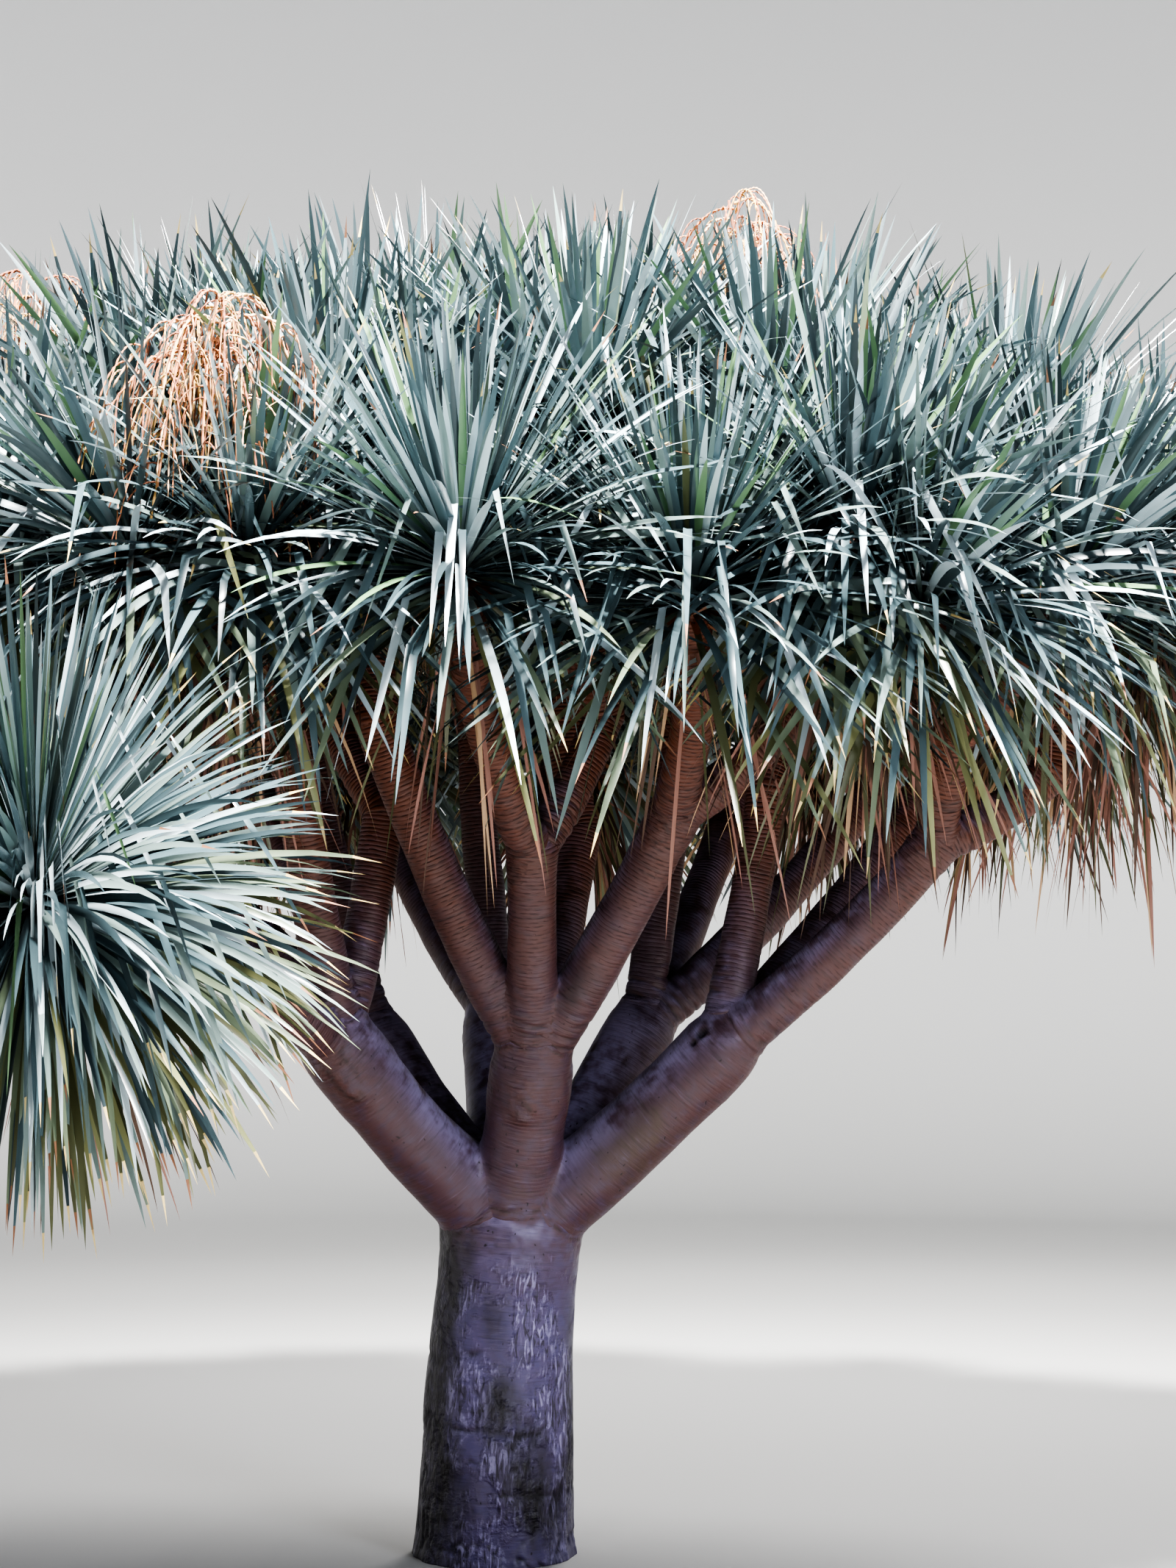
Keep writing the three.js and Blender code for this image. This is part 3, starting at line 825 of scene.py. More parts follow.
def gaps(places: Array, lines: Sequence[Pair]) -> Array:
    """How far each place is outside each limb.

    Args:
        places: Rows of coordinates.
        lines: Points and radii along each limb.

    Returns:
        A row for each limb, with a distance for each place, less than 0 inside the limb.
    """
    rows = []
    for points, radii in lines:
        legs = np.diff(points, axis=0)
        away = places[:, None] - points[:-1]
        share = np.clip((away * legs).sum(axis=2) / (legs * legs).sum(axis=1), 0, 1)
        radius = radii[:-1] + np.diff(radii) * share
        rows.append((np.linalg.norm(away - share[..., None] * legs, axis=2) - radius).min(axis=1))
    return np.array(rows)


class BarkTube:
    """A closed skin round a path: a sphere's rings of corners, drawn out along it.

    FLOW_REACH is how many times the softness a fork is felt, FLOW_ROUNDS how often the skin is moved there,
    FLOW_STEP how far it may go outwards and inwards each time, and SUNK how deep in a neighbour it stays as it
    was. FOOT_ROUNDING is how far up a sunk foot is rounded off, as a share of its depth.
    """

    FLOW_REACH = 8
    FLOW_ROUNDS = 3
    FLOW_STEP = (-0.05, 0.02)
    SUNK = (-0.035, -0.004)
    FOOT_ROUNDING = 1.3
    LINE_STEP = 5

    def __init__(self, name: str, path: Path, around: int) -> None:
        """Adds the sphere and notes where each corner lies on the path.

        Args:
            name: The piece's name.
            path: The middle of the limb.
            around: Corners in each ring.
        """
        last = len(path.points) - 1
        bpy.ops.object.select_all(action="DESELECT")
        bpy.ops.mesh.primitive_uv_sphere_add(segments=around, ring_count=last, radius=1)
        self.piece = bpy.context.object
        self.piece.name = self.piece.data.name = name
        corners = np.empty(3 * len(self.piece.data.vertices))
        self.piece.data.vertices.foreach_get("co", corners)
        corners = corners.reshape(-1, 3)
        self.path = path
        risen = 1 - np.arccos(np.clip(corners[:, 2], -1, 1)) / math.pi
        self.station = station = np.rint(risen * last).astype(int)
        self.turn = np.arctan2(corners[:, 1], corners[:, 0])
        self.along = path.along[station]
        self.middle = path.points[station]
        cos, sin = np.cos(self.turn)[:, None], np.sin(self.turn)[:, None]
        self.out = path.side[station] * cos + path.over[station] * sin
        self.end = (station == 0) | (station == last)
        self.radius = np.zeros(len(corners))

    @property
    def places(self) -> Array:
        """Where the corners lie."""
        return self.middle + self.out * self.radius[:, None]

    def shape(self, radius: Array) -> None:
        """Sets the distance of each corner from the path, with the ends closed."""
        self.radius = np.where(self.end, 0, radius)

    def shape_rounded(self, radius: Array, sunk: float, closing: float) -> None:
        """Shapes the skin with its sunk foot and its tip rounded off.

        Args:
            radius: The distance of each corner from the path before that.
            sunk: How deep the foot is sunk in the parent.
            closing: The length over which the tip closes.
        """
        tip = np.clip(1 - (self.path.along[-1] - self.along) / closing, 0, 1)
        foot = np.clip(1 - self.along / (self.FOOT_ROUNDING * sunk), 0, 1)
        self.shape(radius * np.sqrt(1 - tip**2) * np.sqrt(1 - foot**2))

    def line(self) -> Pair:
        """Points along its middle, some rings apart, with the mean radius at each."""
        radii = np.bincount(self.station, self.radius) / np.bincount(self.station)
        keep = np.append(np.arange(0, len(radii) - 1, self.LINE_STEP), len(radii) - 1)
        return self.path.points[keep], radii[keep]

    def flow_into(self, lines: Sequence[Pair], softness: float) -> Array:
        """Draws the skin out beside the other limbs, so that it flows into them as if they were one.

        Args:
            lines: Points and radii along each other limb.
            softness: About half the width of the hollow that is filled.

        Returns:
            How far outside the nearest other limb each corner was before.
        """
        own = self.radius
        gap = gaps(self.places, lines).min(axis=0)
        near = gap < self.FLOW_REACH * softness
        radius = own.copy()
        for _ in range(self.FLOW_ROUNDS):
            places = self.middle[near] + self.out[near] * radius[near][:, None]
            field = np.vstack([radius[near] - own[near], gaps(places, lines)])
            low = field.min(axis=0)
            union = low - softness * np.log(np.exp((low - field) / softness).sum(axis=0))
            radius[near] -= np.clip(union, *self.FLOW_STEP)
        self.shape(own + (radius - own) * ease(gap, *self.SUNK))
        return gap

    def mark(self, name: str, values: Array) -> None:
        """Gives each corner a value or vector that the bark's material reads.

        Args:
            name: The attribute's name.
            values: One value, or row of three, for each corner.
        """
        vector = values.ndim == 2
        marks = self.piece.data.attributes.new(name, "FLOAT_VECTOR" if vector else "FLOAT", "POINT")
        marks.data.foreach_set("vector" if vector else "value", values.astype(np.float32).ravel())

    def finish(self, material: bpy.types.Material) -> bpy.types.Object:
        """Moves the corners into place and dresses the piece in its bark.

        Args:
            material: The bark.

        Returns:
            The piece.
        """
        reach = np.maximum(self.radius, 0.01)
        self.mark("skin", np.stack([reach * np.cos(self.turn), reach * np.sin(self.turn), self.along], axis=1))
        scars = float(round(math.tau * np.median(self.radius) / SCAR_WIDTH))
        self.mark("around", np.full(len(self.radius), scars))
        self.piece.data.vertices.foreach_set("co", self.places.ravel())
        self.piece.data.update()
        self.piece.data.shade_smooth()
        self.piece.data.materials.append(material)
        return self.piece


def choose(*pieces: bpy.types.Object) -> None:
    """Selects the pieces and no others, and makes the first the active one."""
    bpy.ops.object.select_all(action="DESELECT")
    for piece in pieces:
        piece.select_set(True)
    bpy.context.view_layer.objects.active = pieces[0]


def crease_at(gap: Array, width: float) -> Array:
    """1 where two limbs meet, falling to 0 within a few widths."""
    return np.exp(-np.abs(gap) / width)


def hand_over(piece: bpy.types.Object, slot: str, *nodes: str) -> None:
    """Lets a finished piece ride on the tree and stand for its solids.

    Args:
        piece: The piece.
        slot: The record's material slot; not used.
        nodes: The solids that it stands for.
    """
    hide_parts(*nodes)
    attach(piece, "root")
    log.info("%s: %d corners, stands for %s", piece.name, len(piece.data.vertices), ", ".join(nodes))


def mesh_piece(
    name: str, corners: Array, faces: Sequence, tints: Array, materials: Sequence
) -> bpy.types.Object:
    """A piece from arrays.

    Args:
        name: The piece's name.
        corners: Rows of coordinates.
        faces: The corners of each face.
        tints: For each face, which of the materials it has.
        materials: The materials.

    Returns:
        The piece.
    """
    mesh = bpy.data.meshes.new(name)
    mesh.from_pydata(corners, [], faces)
    used, slots = np.unique(tints, return_inverse=True)
    for index in used:
        mesh.materials.append(materials[index])
    mesh.polygons.foreach_set("material_index", slots.ravel())
    mesh.shade_smooth()
    mesh.update()
    piece = bpy.data.objects.new(name, mesh)
    bpy.context.collection.objects.link(piece)
    return piece


@dataclass
class Trunk:
    """The trunk, from the flat cut at the ground to the swollen head that the boughs leave by.

    A blot has its azimuth in degrees, its half width in radians, its height, half its reach up and down, and
    its strength. A fold of the bark at an old knot has the same but for the strength.
    """

    skeleton: Skeleton
    around: int = 200
    step: float = 0.0055
    below: float = 0.03
    beyond: float = 0.1
    closing: float = 0.3
    profile_height: float = 1.012
    soft_rings: int = 8
    ring_at: tuple[float, ...] = (0, 0.04, 0.12, 0.32, 0.55, 0.76, 0.86, 0.94, 1)
    ring_radii: tuple[float, ...] = (0.24, 0.232, 0.226, 0.222, 0.21, 0.2, 0.206, 0.224, 0.23)
    foot_lobes: int = 5
    lobe_depth: float = 0.028
    lobe_height: float = 0.2
    swell: float = 0.006
    crack_depth: float = 0.005
    crumple: float = 0.004
    age: float = 0.3
    blots: tuple[tuple[float, ...], ...] = (
        (-90, 0.2, 0.7, 0.1, 0.7),
        (-84, 0.24, 0.48, 0.12, 0.8),
        (-70, 0.28, 0.3, 0.14, 0.45),
        (-50, 0.4, 0.16, 0.2, 0.75),
        (-8, 0.4, 0.36, 0.4, 0.8),
        # the left flank: painted shade as well as stain
        (-176, 0.85, 0.45, 0.8, 2.6),
        (40, 0.4, 0.3, 0.3, 0.6),
        (110, 0.35, 0.5, 0.35, 0.7),
    )
    folds: tuple[tuple[float, ...], ...] = (
        (-165, 0.5, 0.58, 0.02),
        (-107, 0.13, 0.6, 0.012),
        (-116, 0.3, 0.385, 0.009),
        (-70, 0.3, 0.37, 0.009),
        (-60, 0.35, 0.2, 0.009),
    )
    fold_depth: float = 0.0045
    plate_depth: float = 0.004

    def model(self) -> BarkTube:
        """Models the trunk with its root flare, swellings, cracks and folds.

        Returns:
            The skin, shaped and marked.
        """
        limb = self.skeleton.limbs["trunk"]
        line = limb.arc.points(np.linspace(0, 1, LINE_POINTS))
        below = line[:1] - UP * self.below
        above = line[-1:] + limb.arc.ahead * self.beyond
        path = Path(np.concatenate([below, line, above]), self.step)
        tube = BarkTube("bark_trunk", path, self.around)
        share = self.share(tube)
        risen = np.clip(path.along - self.below, 0, None) / self.profile_height
        profile = np.interp(risen, self.ring_at, self.ring_radii)
        window = np.hanning(2 * self.soft_rings + 1)
        profile = np.convolve(np.pad(profile, self.soft_rings, "edge"), window / window.sum(), "valid")
        radius = np.interp(tube.along, path.along, profile)
        closing = np.clip(1 - (path.along[-1] - tube.along) / self.closing, 0, 1)
        radius *= np.sqrt(1 - closing**2)
        lobes = ease(1 - share / self.lobe_height, 0, 1.3) * np.cos(self.foot_lobes * tube.turn)
        radius *= 1 + self.lobe_depth * lobes
        tube.shape(radius)
        tube.mark("crevice", self.carve(tube, share))
        return tube

    def share(self, tube: BarkTube) -> Array:
        """How far up the trunk each corner is, 1 at the fork."""
        return (tube.along - self.below) / (tube.path.along[-1] - self.below - self.beyond)

    def dress(self, tube: BarkTube, gap: Array) -> None:
        """Marks what the bark's material reads, and cuts the trunk flat at the ground.

        Args:
            tube: The trunk's skin.
            gap: How far each corner was from the nearest bough.
        """
        share = self.share(tube)
        crumple = Noise(14).layered(tube.places * 26, 2) * ease(share, 0.76, 0.95)
        tube.shape(tube.radius + self.crumple * crumple)
        tube.mark("crease", crease_at(gap, 0.016))
        tube.mark("stain", self.stain(tube.places))
        tube.mark("rough", 1 - ease(share, 0.5, 0.95))
        tube.mark("rows", tube.along / SCAR_ROW)
        tube.mark("age", self.age * ease(share, 0.5, 1.0))
        piece = tube.finish(Bark().material())
        choose(piece)
        bpy.ops.object.mode_set(mode="EDIT")
        bpy.ops.mesh.select_all(action="SELECT")
        bpy.ops.mesh.bisect(plane_co=(0, 0, 0), plane_no=(0, 0, 1), use_fill=True, clear_inner=True)
        bpy.ops.object.mode_set(mode="OBJECT")
        hand_over(piece, "trunk_bark", "trunk")

    def carve(self, tube: BarkTube, share: Array) -> Array:
        """Swells the trunk, splits its lower bark and folds it at the old knots.

        Args:
            tube: The trunk's skin.
            share: How far up each corner is.

        Returns:
            How deep in a crack each corner is, up to 1.
        """
        places = tube.places
        swell = Noise(11).layered(places * [5, 5, 4], 2) * self.swell
        low = 1 - ease(share + 0.15 * Noise(19)(places * 6), 0.2, 0.7)
        wander = Noise(16).layered(places * [6, 6, 9], 2)[:, None] * [1.0, 1.0, 0.0]
        cracks = np.exp(-((Noise(12)(places * [34, 34, 7] + wander) / 0.12) ** 2))
        crevice = cracks * ease(Noise(13)(places * [14, 14, 20]), -0.2, 0.3) * low
        uneven = places[:, 2] + 0.012 * Noise(18)(places * 30)
        folds = sum(self.spot(places, uneven, *fold) for fold in self.folds)
        plates = self.plate_depth * low * Noise(17).layered(places * [22, 22, 6], 2)
        tube.shape(tube.radius + swell + plates - self.crack_depth * crevice - self.fold_depth * folds)
        return np.clip(crevice + 0.8 * folds, 0, 1)

    def stain(self, places: Array) -> Array:
        """How black the rain and sap have made the bark at each place, up to 1, with painted shade on the left
        flank.
        """
        ragged = Noise(15).layered(places * [16, 16, 5], 4)
        blots = sum(strength * self.spot(places, places[:, 2], *spot) for *spot, strength in self.blots)
        return ease(blots + 0.4 * ragged * ease(blots, 0, 0.4), 0.0, 1.1)

    def spot(self, places: Array, heights: Array, *sizes: float) -> Array:
        """How near each place, at its height, is to a blot or fold of some sizes, 1 in its middle."""
        azimuth, wide, height, tall = sizes
        facing = np.arctan2(places[:, 1], places[:, 0])
        turned = (facing - math.radians(azimuth) + math.pi) % math.tau - math.pi
        return np.exp(-((turned / wide) ** 2) - ((heights - height) / tall) ** 2)


class Blemish(Enum):
    """What marks a limb's bark, with the value that the bark's material reads."""

    PIT = "crevice"
    MOSS = "moss"
    SAP = "stain"


@dataclass(frozen=True)
class Mark:
    """A mark on one limb's bark: its kind, its middle, how far it reaches and how strong it is."""

    limb: str
    kind: Blemish
    middle: Triple
    reach: float
    strength: float = 1.0


@dataclass(frozen=True)
class Make:
    """How the skins of the boughs or of the other limbs are made.

    sunk is how deep the foot is sunk and outset how far out it stands, as shares of the parent's radius, and
    closing the length over which the tip closes, as a share of the limb's. foot_profile is how thick the skin
    is at its foot and a little above, against the limb's even taper.
    """

    slot: str
    around: int
    step: float
    sunk: float
    outset: float
    closing: float
    soften: float
    softness: float
    crease: float
    foot_profile: tuple[float, float, float]


BOUGHS = Make(
    "bough_bark", around=96, step=0.006, sunk=0.95, outset=0, closing=1.5, soften=0.2, softness=0.012,
    crease=0.012, foot_profile=(1.04, 1.04, 1.02),
)
OTHERS = Make(
    "limb_bark", around=40, step=0.0048, sunk=1.6, outset=0.48, closing=1, soften=0.12, softness=0.007,
    crease=0.008, foot_profile=(0.86, 0.95, 1.02),
)


@dataclass
class Limbs:
    """The boughs and limbs, each a tapering tube whose pointed foot lies on its parent."""

    skeleton: Skeleton
    marks: tuple[Mark, ...] = (
        Mark("bough_right", Blemish.PIT, (0.593, -0.265, 1.519), 0.016, 1.6),
        Mark("bough_right", Blemish.PIT, (0.574, -0.262, 1.493), 0.009, 1.4),
        Mark("bough_right", Blemish.MOSS, (0.378, -0.215, 1.17), 0.11),
        Mark("bough_right", Blemish.MOSS, (0.44, -0.25, 1.25), 0.07),
        Mark("limb_front_3", Blemish.SAP, (0.253, -0.428, 1.674), 0.05, 0.45),
        Mark("limb_front_3", Blemish.SAP, (0.215, -0.41, 1.62), 0.04, 0.45),
    )
    pit_depth: float = 0.01
    front_limb: str = "limb_front_2"
    front_azimuth: float = -92.0
    front_outset: float = 0.72
    profile_at: tuple[float, ...] = (0, 0.08, 0.2, 0.55, 0.86, 0.96, 1)
    profile: tuple[float, ...] = (0.97, 1, 1.05, 1.04)
    tip_dome: float = 0.34
    swell: float = 0.0035
    ridge: float = 0.0007
    fold: float = 0.008
    fold_width: float = 0.16
    fold_spacing: float = 0.04
    fold_reach: float = 0.19
    crumple: float = 0.0025
    crumple_reach: float = 0.04
    relief_radii: tuple[float, float] = (0.02, 0.045)

    def model(self, limb: Limb) -> BarkTube:
        """Models one limb, its foot sunk in its parent.

        Args:
            limb: The limb.

        Returns:
            The skin, shaped and marked.
        """
        make = BOUGHS if limb.is_bough else OTHERS
        parent = limb.parent
        sunk = make.sunk * parent.tip_radius
        dome = self.tip_dome * limb.tip_radius
        outward, outset = limb.arc.foot - parent.arc.tip, make.outset
        if limb.name == self.front_limb:
            outward, outset = level(self.front_azimuth), self.front_outset
        outward = unit(outward - parent.arc.ahead * outward.dot(parent.arc.ahead))
        line = limb.arc.points(np.linspace(0, 1, LINE_POINTS))
        below = line[:1] - parent.arc.ahead * sunk + outward * (outset * parent.tip_radius)
        above = line[-1:] + limb.arc.ahead * dome
        path = Path(np.concatenate([below, line, above]), make.step, make.soften)
        tube = BarkTube(f"bark_{limb.name}", path, make.around)
        share = np.clip((tube.along - sunk) / (path.along[-1] - sunk - dome), 0, 1)
        radius = limb.radius_at(share)
        radius *= np.interp(share, self.profile_at, (*make.foot_profile, *self.profile))
        tube.shape_rounded(radius, sunk, make.closing * limb.tip_radius)
        start, last = self.ages(limb)
        tube.mark("age", start + (last - start) * share)
        self.carve(limb, tube, tube.along - sunk, 0 if limb.is_bough else share)
        return tube

    def ages(self, limb: Limb) -> tuple[float, float]:
        """How young the bark is at a limb's foot and at its tip."""
        if not limb.parent:
            return 0.0, Trunk.age
        start = self.ages(limb.parent)[1]
        bears_leaves = any(spec.on == limb.name for spec in MASSES)
        return start, 0.96 if bears_leaves else 0.44 if limb.is_bough else 0.7

    def carve(self, limb: Limb, tube: BarkTube, from_foot: Array, share: Array | float) -> None:
        """Gives a limb its swellings, its rows of scars, the folds at its foot and its marks.

        Args:
            limb: The limb.
            tube: Its skin.
            from_foot: How far above the limb's foot each corner is.
            share: How strong the rows are.
        """
        places = tube.places
        wander = Noise(70)(places * 9)
        rows = tube.along / SCAR_ROW + 0.4 * wander + 0.15 * Noise(80)(places * 40)
        swell = self.swell * Noise(30).layered(places * 7, 2)
        ridge = -self.ridge * (0.3 + 0.7 * share) * np.cos(math.tau * rows)
        near = np.exp(-((from_foot / self.fold_reach) ** 2)) * (0 if limb.is_bough else 1)
        bent = from_foot / self.fold_spacing + 0.7 * wander + 0.35 * Noise(71)(places * 22)
        folds = near * np.exp(-((((bent % 1) - 0.5) / self.fold_width) ** 2))
        folds *= ease(Noise(72)(places * 15), -0.35, 0.1)
        marks = {kind: np.zeros(len(places)) for kind in Blemish}
        for mark in self.marks:
            if mark.limb == limb.name:
                away = np.linalg.norm(places - mark.middle, axis=1) / mark.reach
                marks[mark.kind] += mark.strength * np.exp(-((away * (1 + 0.4 * Noise(73)(places * 30))) ** 2))
        relief = swell + ridge - self.fold * folds - self.pit_depth * marks[Blemish.PIT]
        tube.shape(tube.radius + relief * ease(tube.radius, *self.relief_radii))
        marks[Blemish.PIT] += 0.65 * folds
        for kind, values in marks.items():
            tube.mark(kind.value, np.clip(values, 0, 1))
        tube.mark("rows", rows)

    def dress(self, limb: Limb, tube: BarkTube, gap: Array) -> None:
        """Crumples the skin beside its neighbours, marks the creases and dresses the piece.

        Args:
            limb: The limb.
            tube: Its skin.
            gap: How far each corner was from the nearest neighbour.
        """
        make = BOUGHS if limb.is_bough else OTHERS
        near = np.clip(1 - np.abs(gap) / self.crumple_reach, 0, 1)
        crumple = self.crumple * Noise(90).layered(tube.places * 40, 2) * near
        tube.shape(tube.radius + crumple * ease(tube.radius, *self.relief_radii))
        tube.mark("crease", crease_at(gap, make.crease))
        hand_over(tube.finish(Bark().material()), make.slot, limb.name)


@dataclass
class Timber:
    """The trunk, the boughs and the limbs, each drawn into its neighbours where they fork."""

    skeleton: Skeleton
    trunk_softness: float = 0.016

    def build(self) -> None:
        """Models every skin, then draws each into the others and dresses it."""
        trunk, limbs = Trunk(self.skeleton), Limbs(self.skeleton)
        grown = self.skeleton.limbs
        tubes = {name: limbs.model(limb) if limb.parent else trunk.model() for name, limb in grown.items()}
        lines = {name: tube.line() for name, tube in tubes.items()}
        for name, tube in tubes.items():
            limb = grown[name]
            others = [lines[other.name] for other in limb.neighbours(grown.values())]
            if limb.parent:
                softness = (BOUGHS if limb.is_bough else OTHERS).softness
                limbs.dress(limb, tube, tube.flow_into(others, softness))
            else:
                trunk.dress(tube, tube.flow_into(others, self.trunk_softness))


@dataclass
class Rosette:
    """One rosette: where it stands, which way it opens, its leaves and their greatest length and width.

    closeness is how soon the leaves spread from the heart, outer how far out in the crown it stands, bare the
    share of its hanging leaves that are shed, and stub how many torn ends a flower stalk has left in it.
    """

    place: Array
    axis: Array
    leaves: int
    length: float
    width: float
    closeness: float
    outer: float
    bare: float
    stub: int = 0

    def radial(self, turn: Array) -> Array:
        """The way that leaves at some angles leave the axis."""
        first, second = square_to(self.axis)
        return first * np.cos(turn)[:, None] + second * np.sin(turn)[:, None]


@dataclass
class Leaves:
    """The leaves of one rosette, with a value for each.

    tilt and turn are a leaf's angles from the axis and round it, droop how far its own weight bends it and
    twist how far its blade turns, in radians; kink is the section at which it is folded over, tints has the
    tint of each of its sections, and root is where it leaves the axis.
    """

    tilt: Array
    turn: Array
    length: Array
    width: Array
    droop: Array
    kink: Array
    twist: Array
    tints: Array
    root: Array


@dataclass
class Crown:
    """The foliage: stems and twigs that end in rosettes, one set for each mass."""

    skeleton: Skeleton
    low: Array
    high: Array
    stem_radius: float = 0.06
    twig_radius: float = 0.054
    head_radius: float = 0.05
    fine_radius: float = 0.04
    fine_spread: float = 0.15
    fine_share: float = 0.5
    fine_bow: float = 0.12
    twig_share: float = 0.7
    around: int = 22
    line_points: int = 24
    step: float = 0.009
    swell: float = 0.0025
    ridge: float = 0.0016
    sunk: float = 0.8
    soften: float = 0.05
    closing: float = 0.04
    softness: float = 0.008
    leaf_length: float = 0.78
    leaf_width: float = 0.0255
    fine_length: float = 0.73
    fine_leaves: int = 250
    fine_slender: float = 0.92
    fine_turn: float = 0.6
    fine_rise: float = 0.1
    fine_opening: float = 0.3
    fine_taper: float = 1.1
    outer_from: float = 0.7
    outer_kept: float = 0.6
    opening: float = 120
    closeness: float = 0.85
    fixed_closeness: float = 0.75
    droop: float = 0.8
    kinked: float = 0.14
    fixed_kinked: float = 1.5
    twist: float = 0.3
    hanging_age: float = 0.3
    sheath_age: float = 0.55
    dry_share: float = 0.12
    straw_share: float = 0.6
    dead_share: float = 0.035
    skirt_share: float = 0.15
    root_outset: float = 0.035
    shortenings: int = 5
    shortened: float = 0.88
    wood_reach: float = 1.1
    wood_gap: float = -0.004
    shares: tuple[float, ...] = (0, 0.07, 0.2, 0.36, 0.52, 0.66, 0.79, 0.91, 1)
    widths: tuple[float, ...] = (1.15, 0.8, 0.86, 0.97, 1.0, 0.9, 0.68, 0.36)
    keels: tuple[float, ...] = (0.4, 0.24, 0.16, 0.12, 0.09, 0.07, 0.06, 0.05)
    wood: list[Limb] = field(default_factory=list)

    def build(self) -> None:
        """Grows all masses, then models and dresses them one by one."""
        masses = [self.grow_wood(index, spec) for index, spec in enumerate(MASSES)]
        self.wood = [*self.skeleton.limbs.values(), *(limb for limbs, _ in masses for limb in limbs)]
        bark = Bark().material()
        for index, (spec, (limbs, rosettes)) in enumerate(zip(MASSES, masses)):
            tubes = [self.model(limb, bark, 200 + 10 * index + k) for k, limb in enumerate(limbs)]
            choose(*tubes)
            bpy.ops.object.join()
            tubes[0].name = f"twigs_{spec.name}"
            hand_over(tubes[0], "limb_bark", f"foliage_{spec.name}")
            leaves = self.leaves(f"leaves_{spec.name}", rosettes, index + 101)
            hand_over(leaves, "foliage", f"foliage_{spec.name}")

    def grow_wood(self, index: int, spec: MassSpec) -> tuple[list[Limb], list[Rosette]]:
        """Grows one mass's stem and twigs from its limb's tip.

        Args:
            index: The mass's place in the list.
            spec: The mass.

        Returns:
            Its wood and its rosettes.
        """
        bearer = self.skeleton.limbs[spec.on]
        heads = [head for head in self.skeleton.heads if head.mass == index]
        forks = len(heads) > 1
        middle = sum(head.place for head in heads) / len(heads)
        fork = bearer.arc.tip + (middle - bearer.arc.tip) * (self.skeleton.stem_share if forks else 1)
        foot = bearer.arc.tip - bearer.arc.ahead * self.skeleton.root_depth * bearer.tip_radius
        wood, rosettes = [], []
        if forks:
            arc = Arc.between(foot, fork, self.skeleton.stem_bow)
            wood.append(Limb("stem", arc, self.stem_radius, self.twig_radius, bearer))
        draw = seeded(index + 301)
        for head in heads:
            arc = Arc.between(fork if forks else foot, head.place, self.skeleton.twig_bow)
            rise = self.skeleton.fixed_rise if head.fixed else self.skeleton.free_rise
            head.axis = unit(arc.ahead + UP * rise)
            start = self.twig_radius if forks else self.stem_radius
            parent = wood[0] if forks else bearer
            if head.fixed:
                wood.append(Limb("twig", arc, start, self.head_radius, parent))
                length, width = self.leaf_length * head.size, self.leaf_width * spec.slender
                shape = (length, width, self.fixed_closeness, 0, spec.bare, spec.stub)
                rosettes.append(Rosette(head.place, head.axis, head.leaves, *shape))
                continue
            cut = self.twig_share
            short = Arc(arc.foot, arc.foot + (arc.control - arc.foot) * cut, arc.points([cut])[0])
            wood.append(Limb("twig", short, start, self.head_radius, parent))
            for fine, rosette in self.fine_twigs(wood[-1], head, draw):
                wood.append(fine)
                rosettes.append(rosette)
        return wood, rosettes

    def fine_twigs(self, twig: Limb, head: Head, draw: Callable[[], float]) -> list[tuple[Limb, Rosette]]:
        """Forks a twig to the last, finest twigs, each with its own rosette, about the head's place.

        Args:
            twig: The twig.
            head: The head that the source has there.
            draw: The mass's own draw.

        Returns:
            Each fine twig with its rosette.
        """
        count = 2 if draw() < self.fine_share else 3
        first, second = square_to(head.axis)
        turn = draw() * math.tau
        grown = []
        for k in range(count):
            angle = turn + k * math.tau / count + (draw() - 0.5) * self.fine_turn
            sideways = (first * math.cos(angle) + second * math.sin(angle)) * self.fine_spread
            sideways = sideways * (0.8 + 0.4 * draw())
            place = head.place + sideways + head.axis * (draw() - 0.5) * self.fine_rise
            arc = Arc.between(twig.arc.tip, place, self.fine_bow)
            axis = unit(head.axis + sideways / self.fine_spread * self.fine_opening)
            leaves = round(self.fine_leaves * (0.85 + 0.3 * draw()) * (1.15 if count == 2 else 0.95))
            length = self.fine_length * (0.92 + 0.16 * draw())
            width = self.leaf_width * self.fine_slender
            outer = float(ease(self.skeleton.out_share(place), self.outer_from, 1.0))
            bare = MASSES[head.mass].bare * (1 - self.outer_kept * outer)
            fine = Limb("fine_twig", arc, self.fine_radius * self.fine_taper, self.fine_radius, twig)
            grown.append((fine, Rosette(place, axis, leaves, length, width, self.closeness, outer, bare)))
        return grown

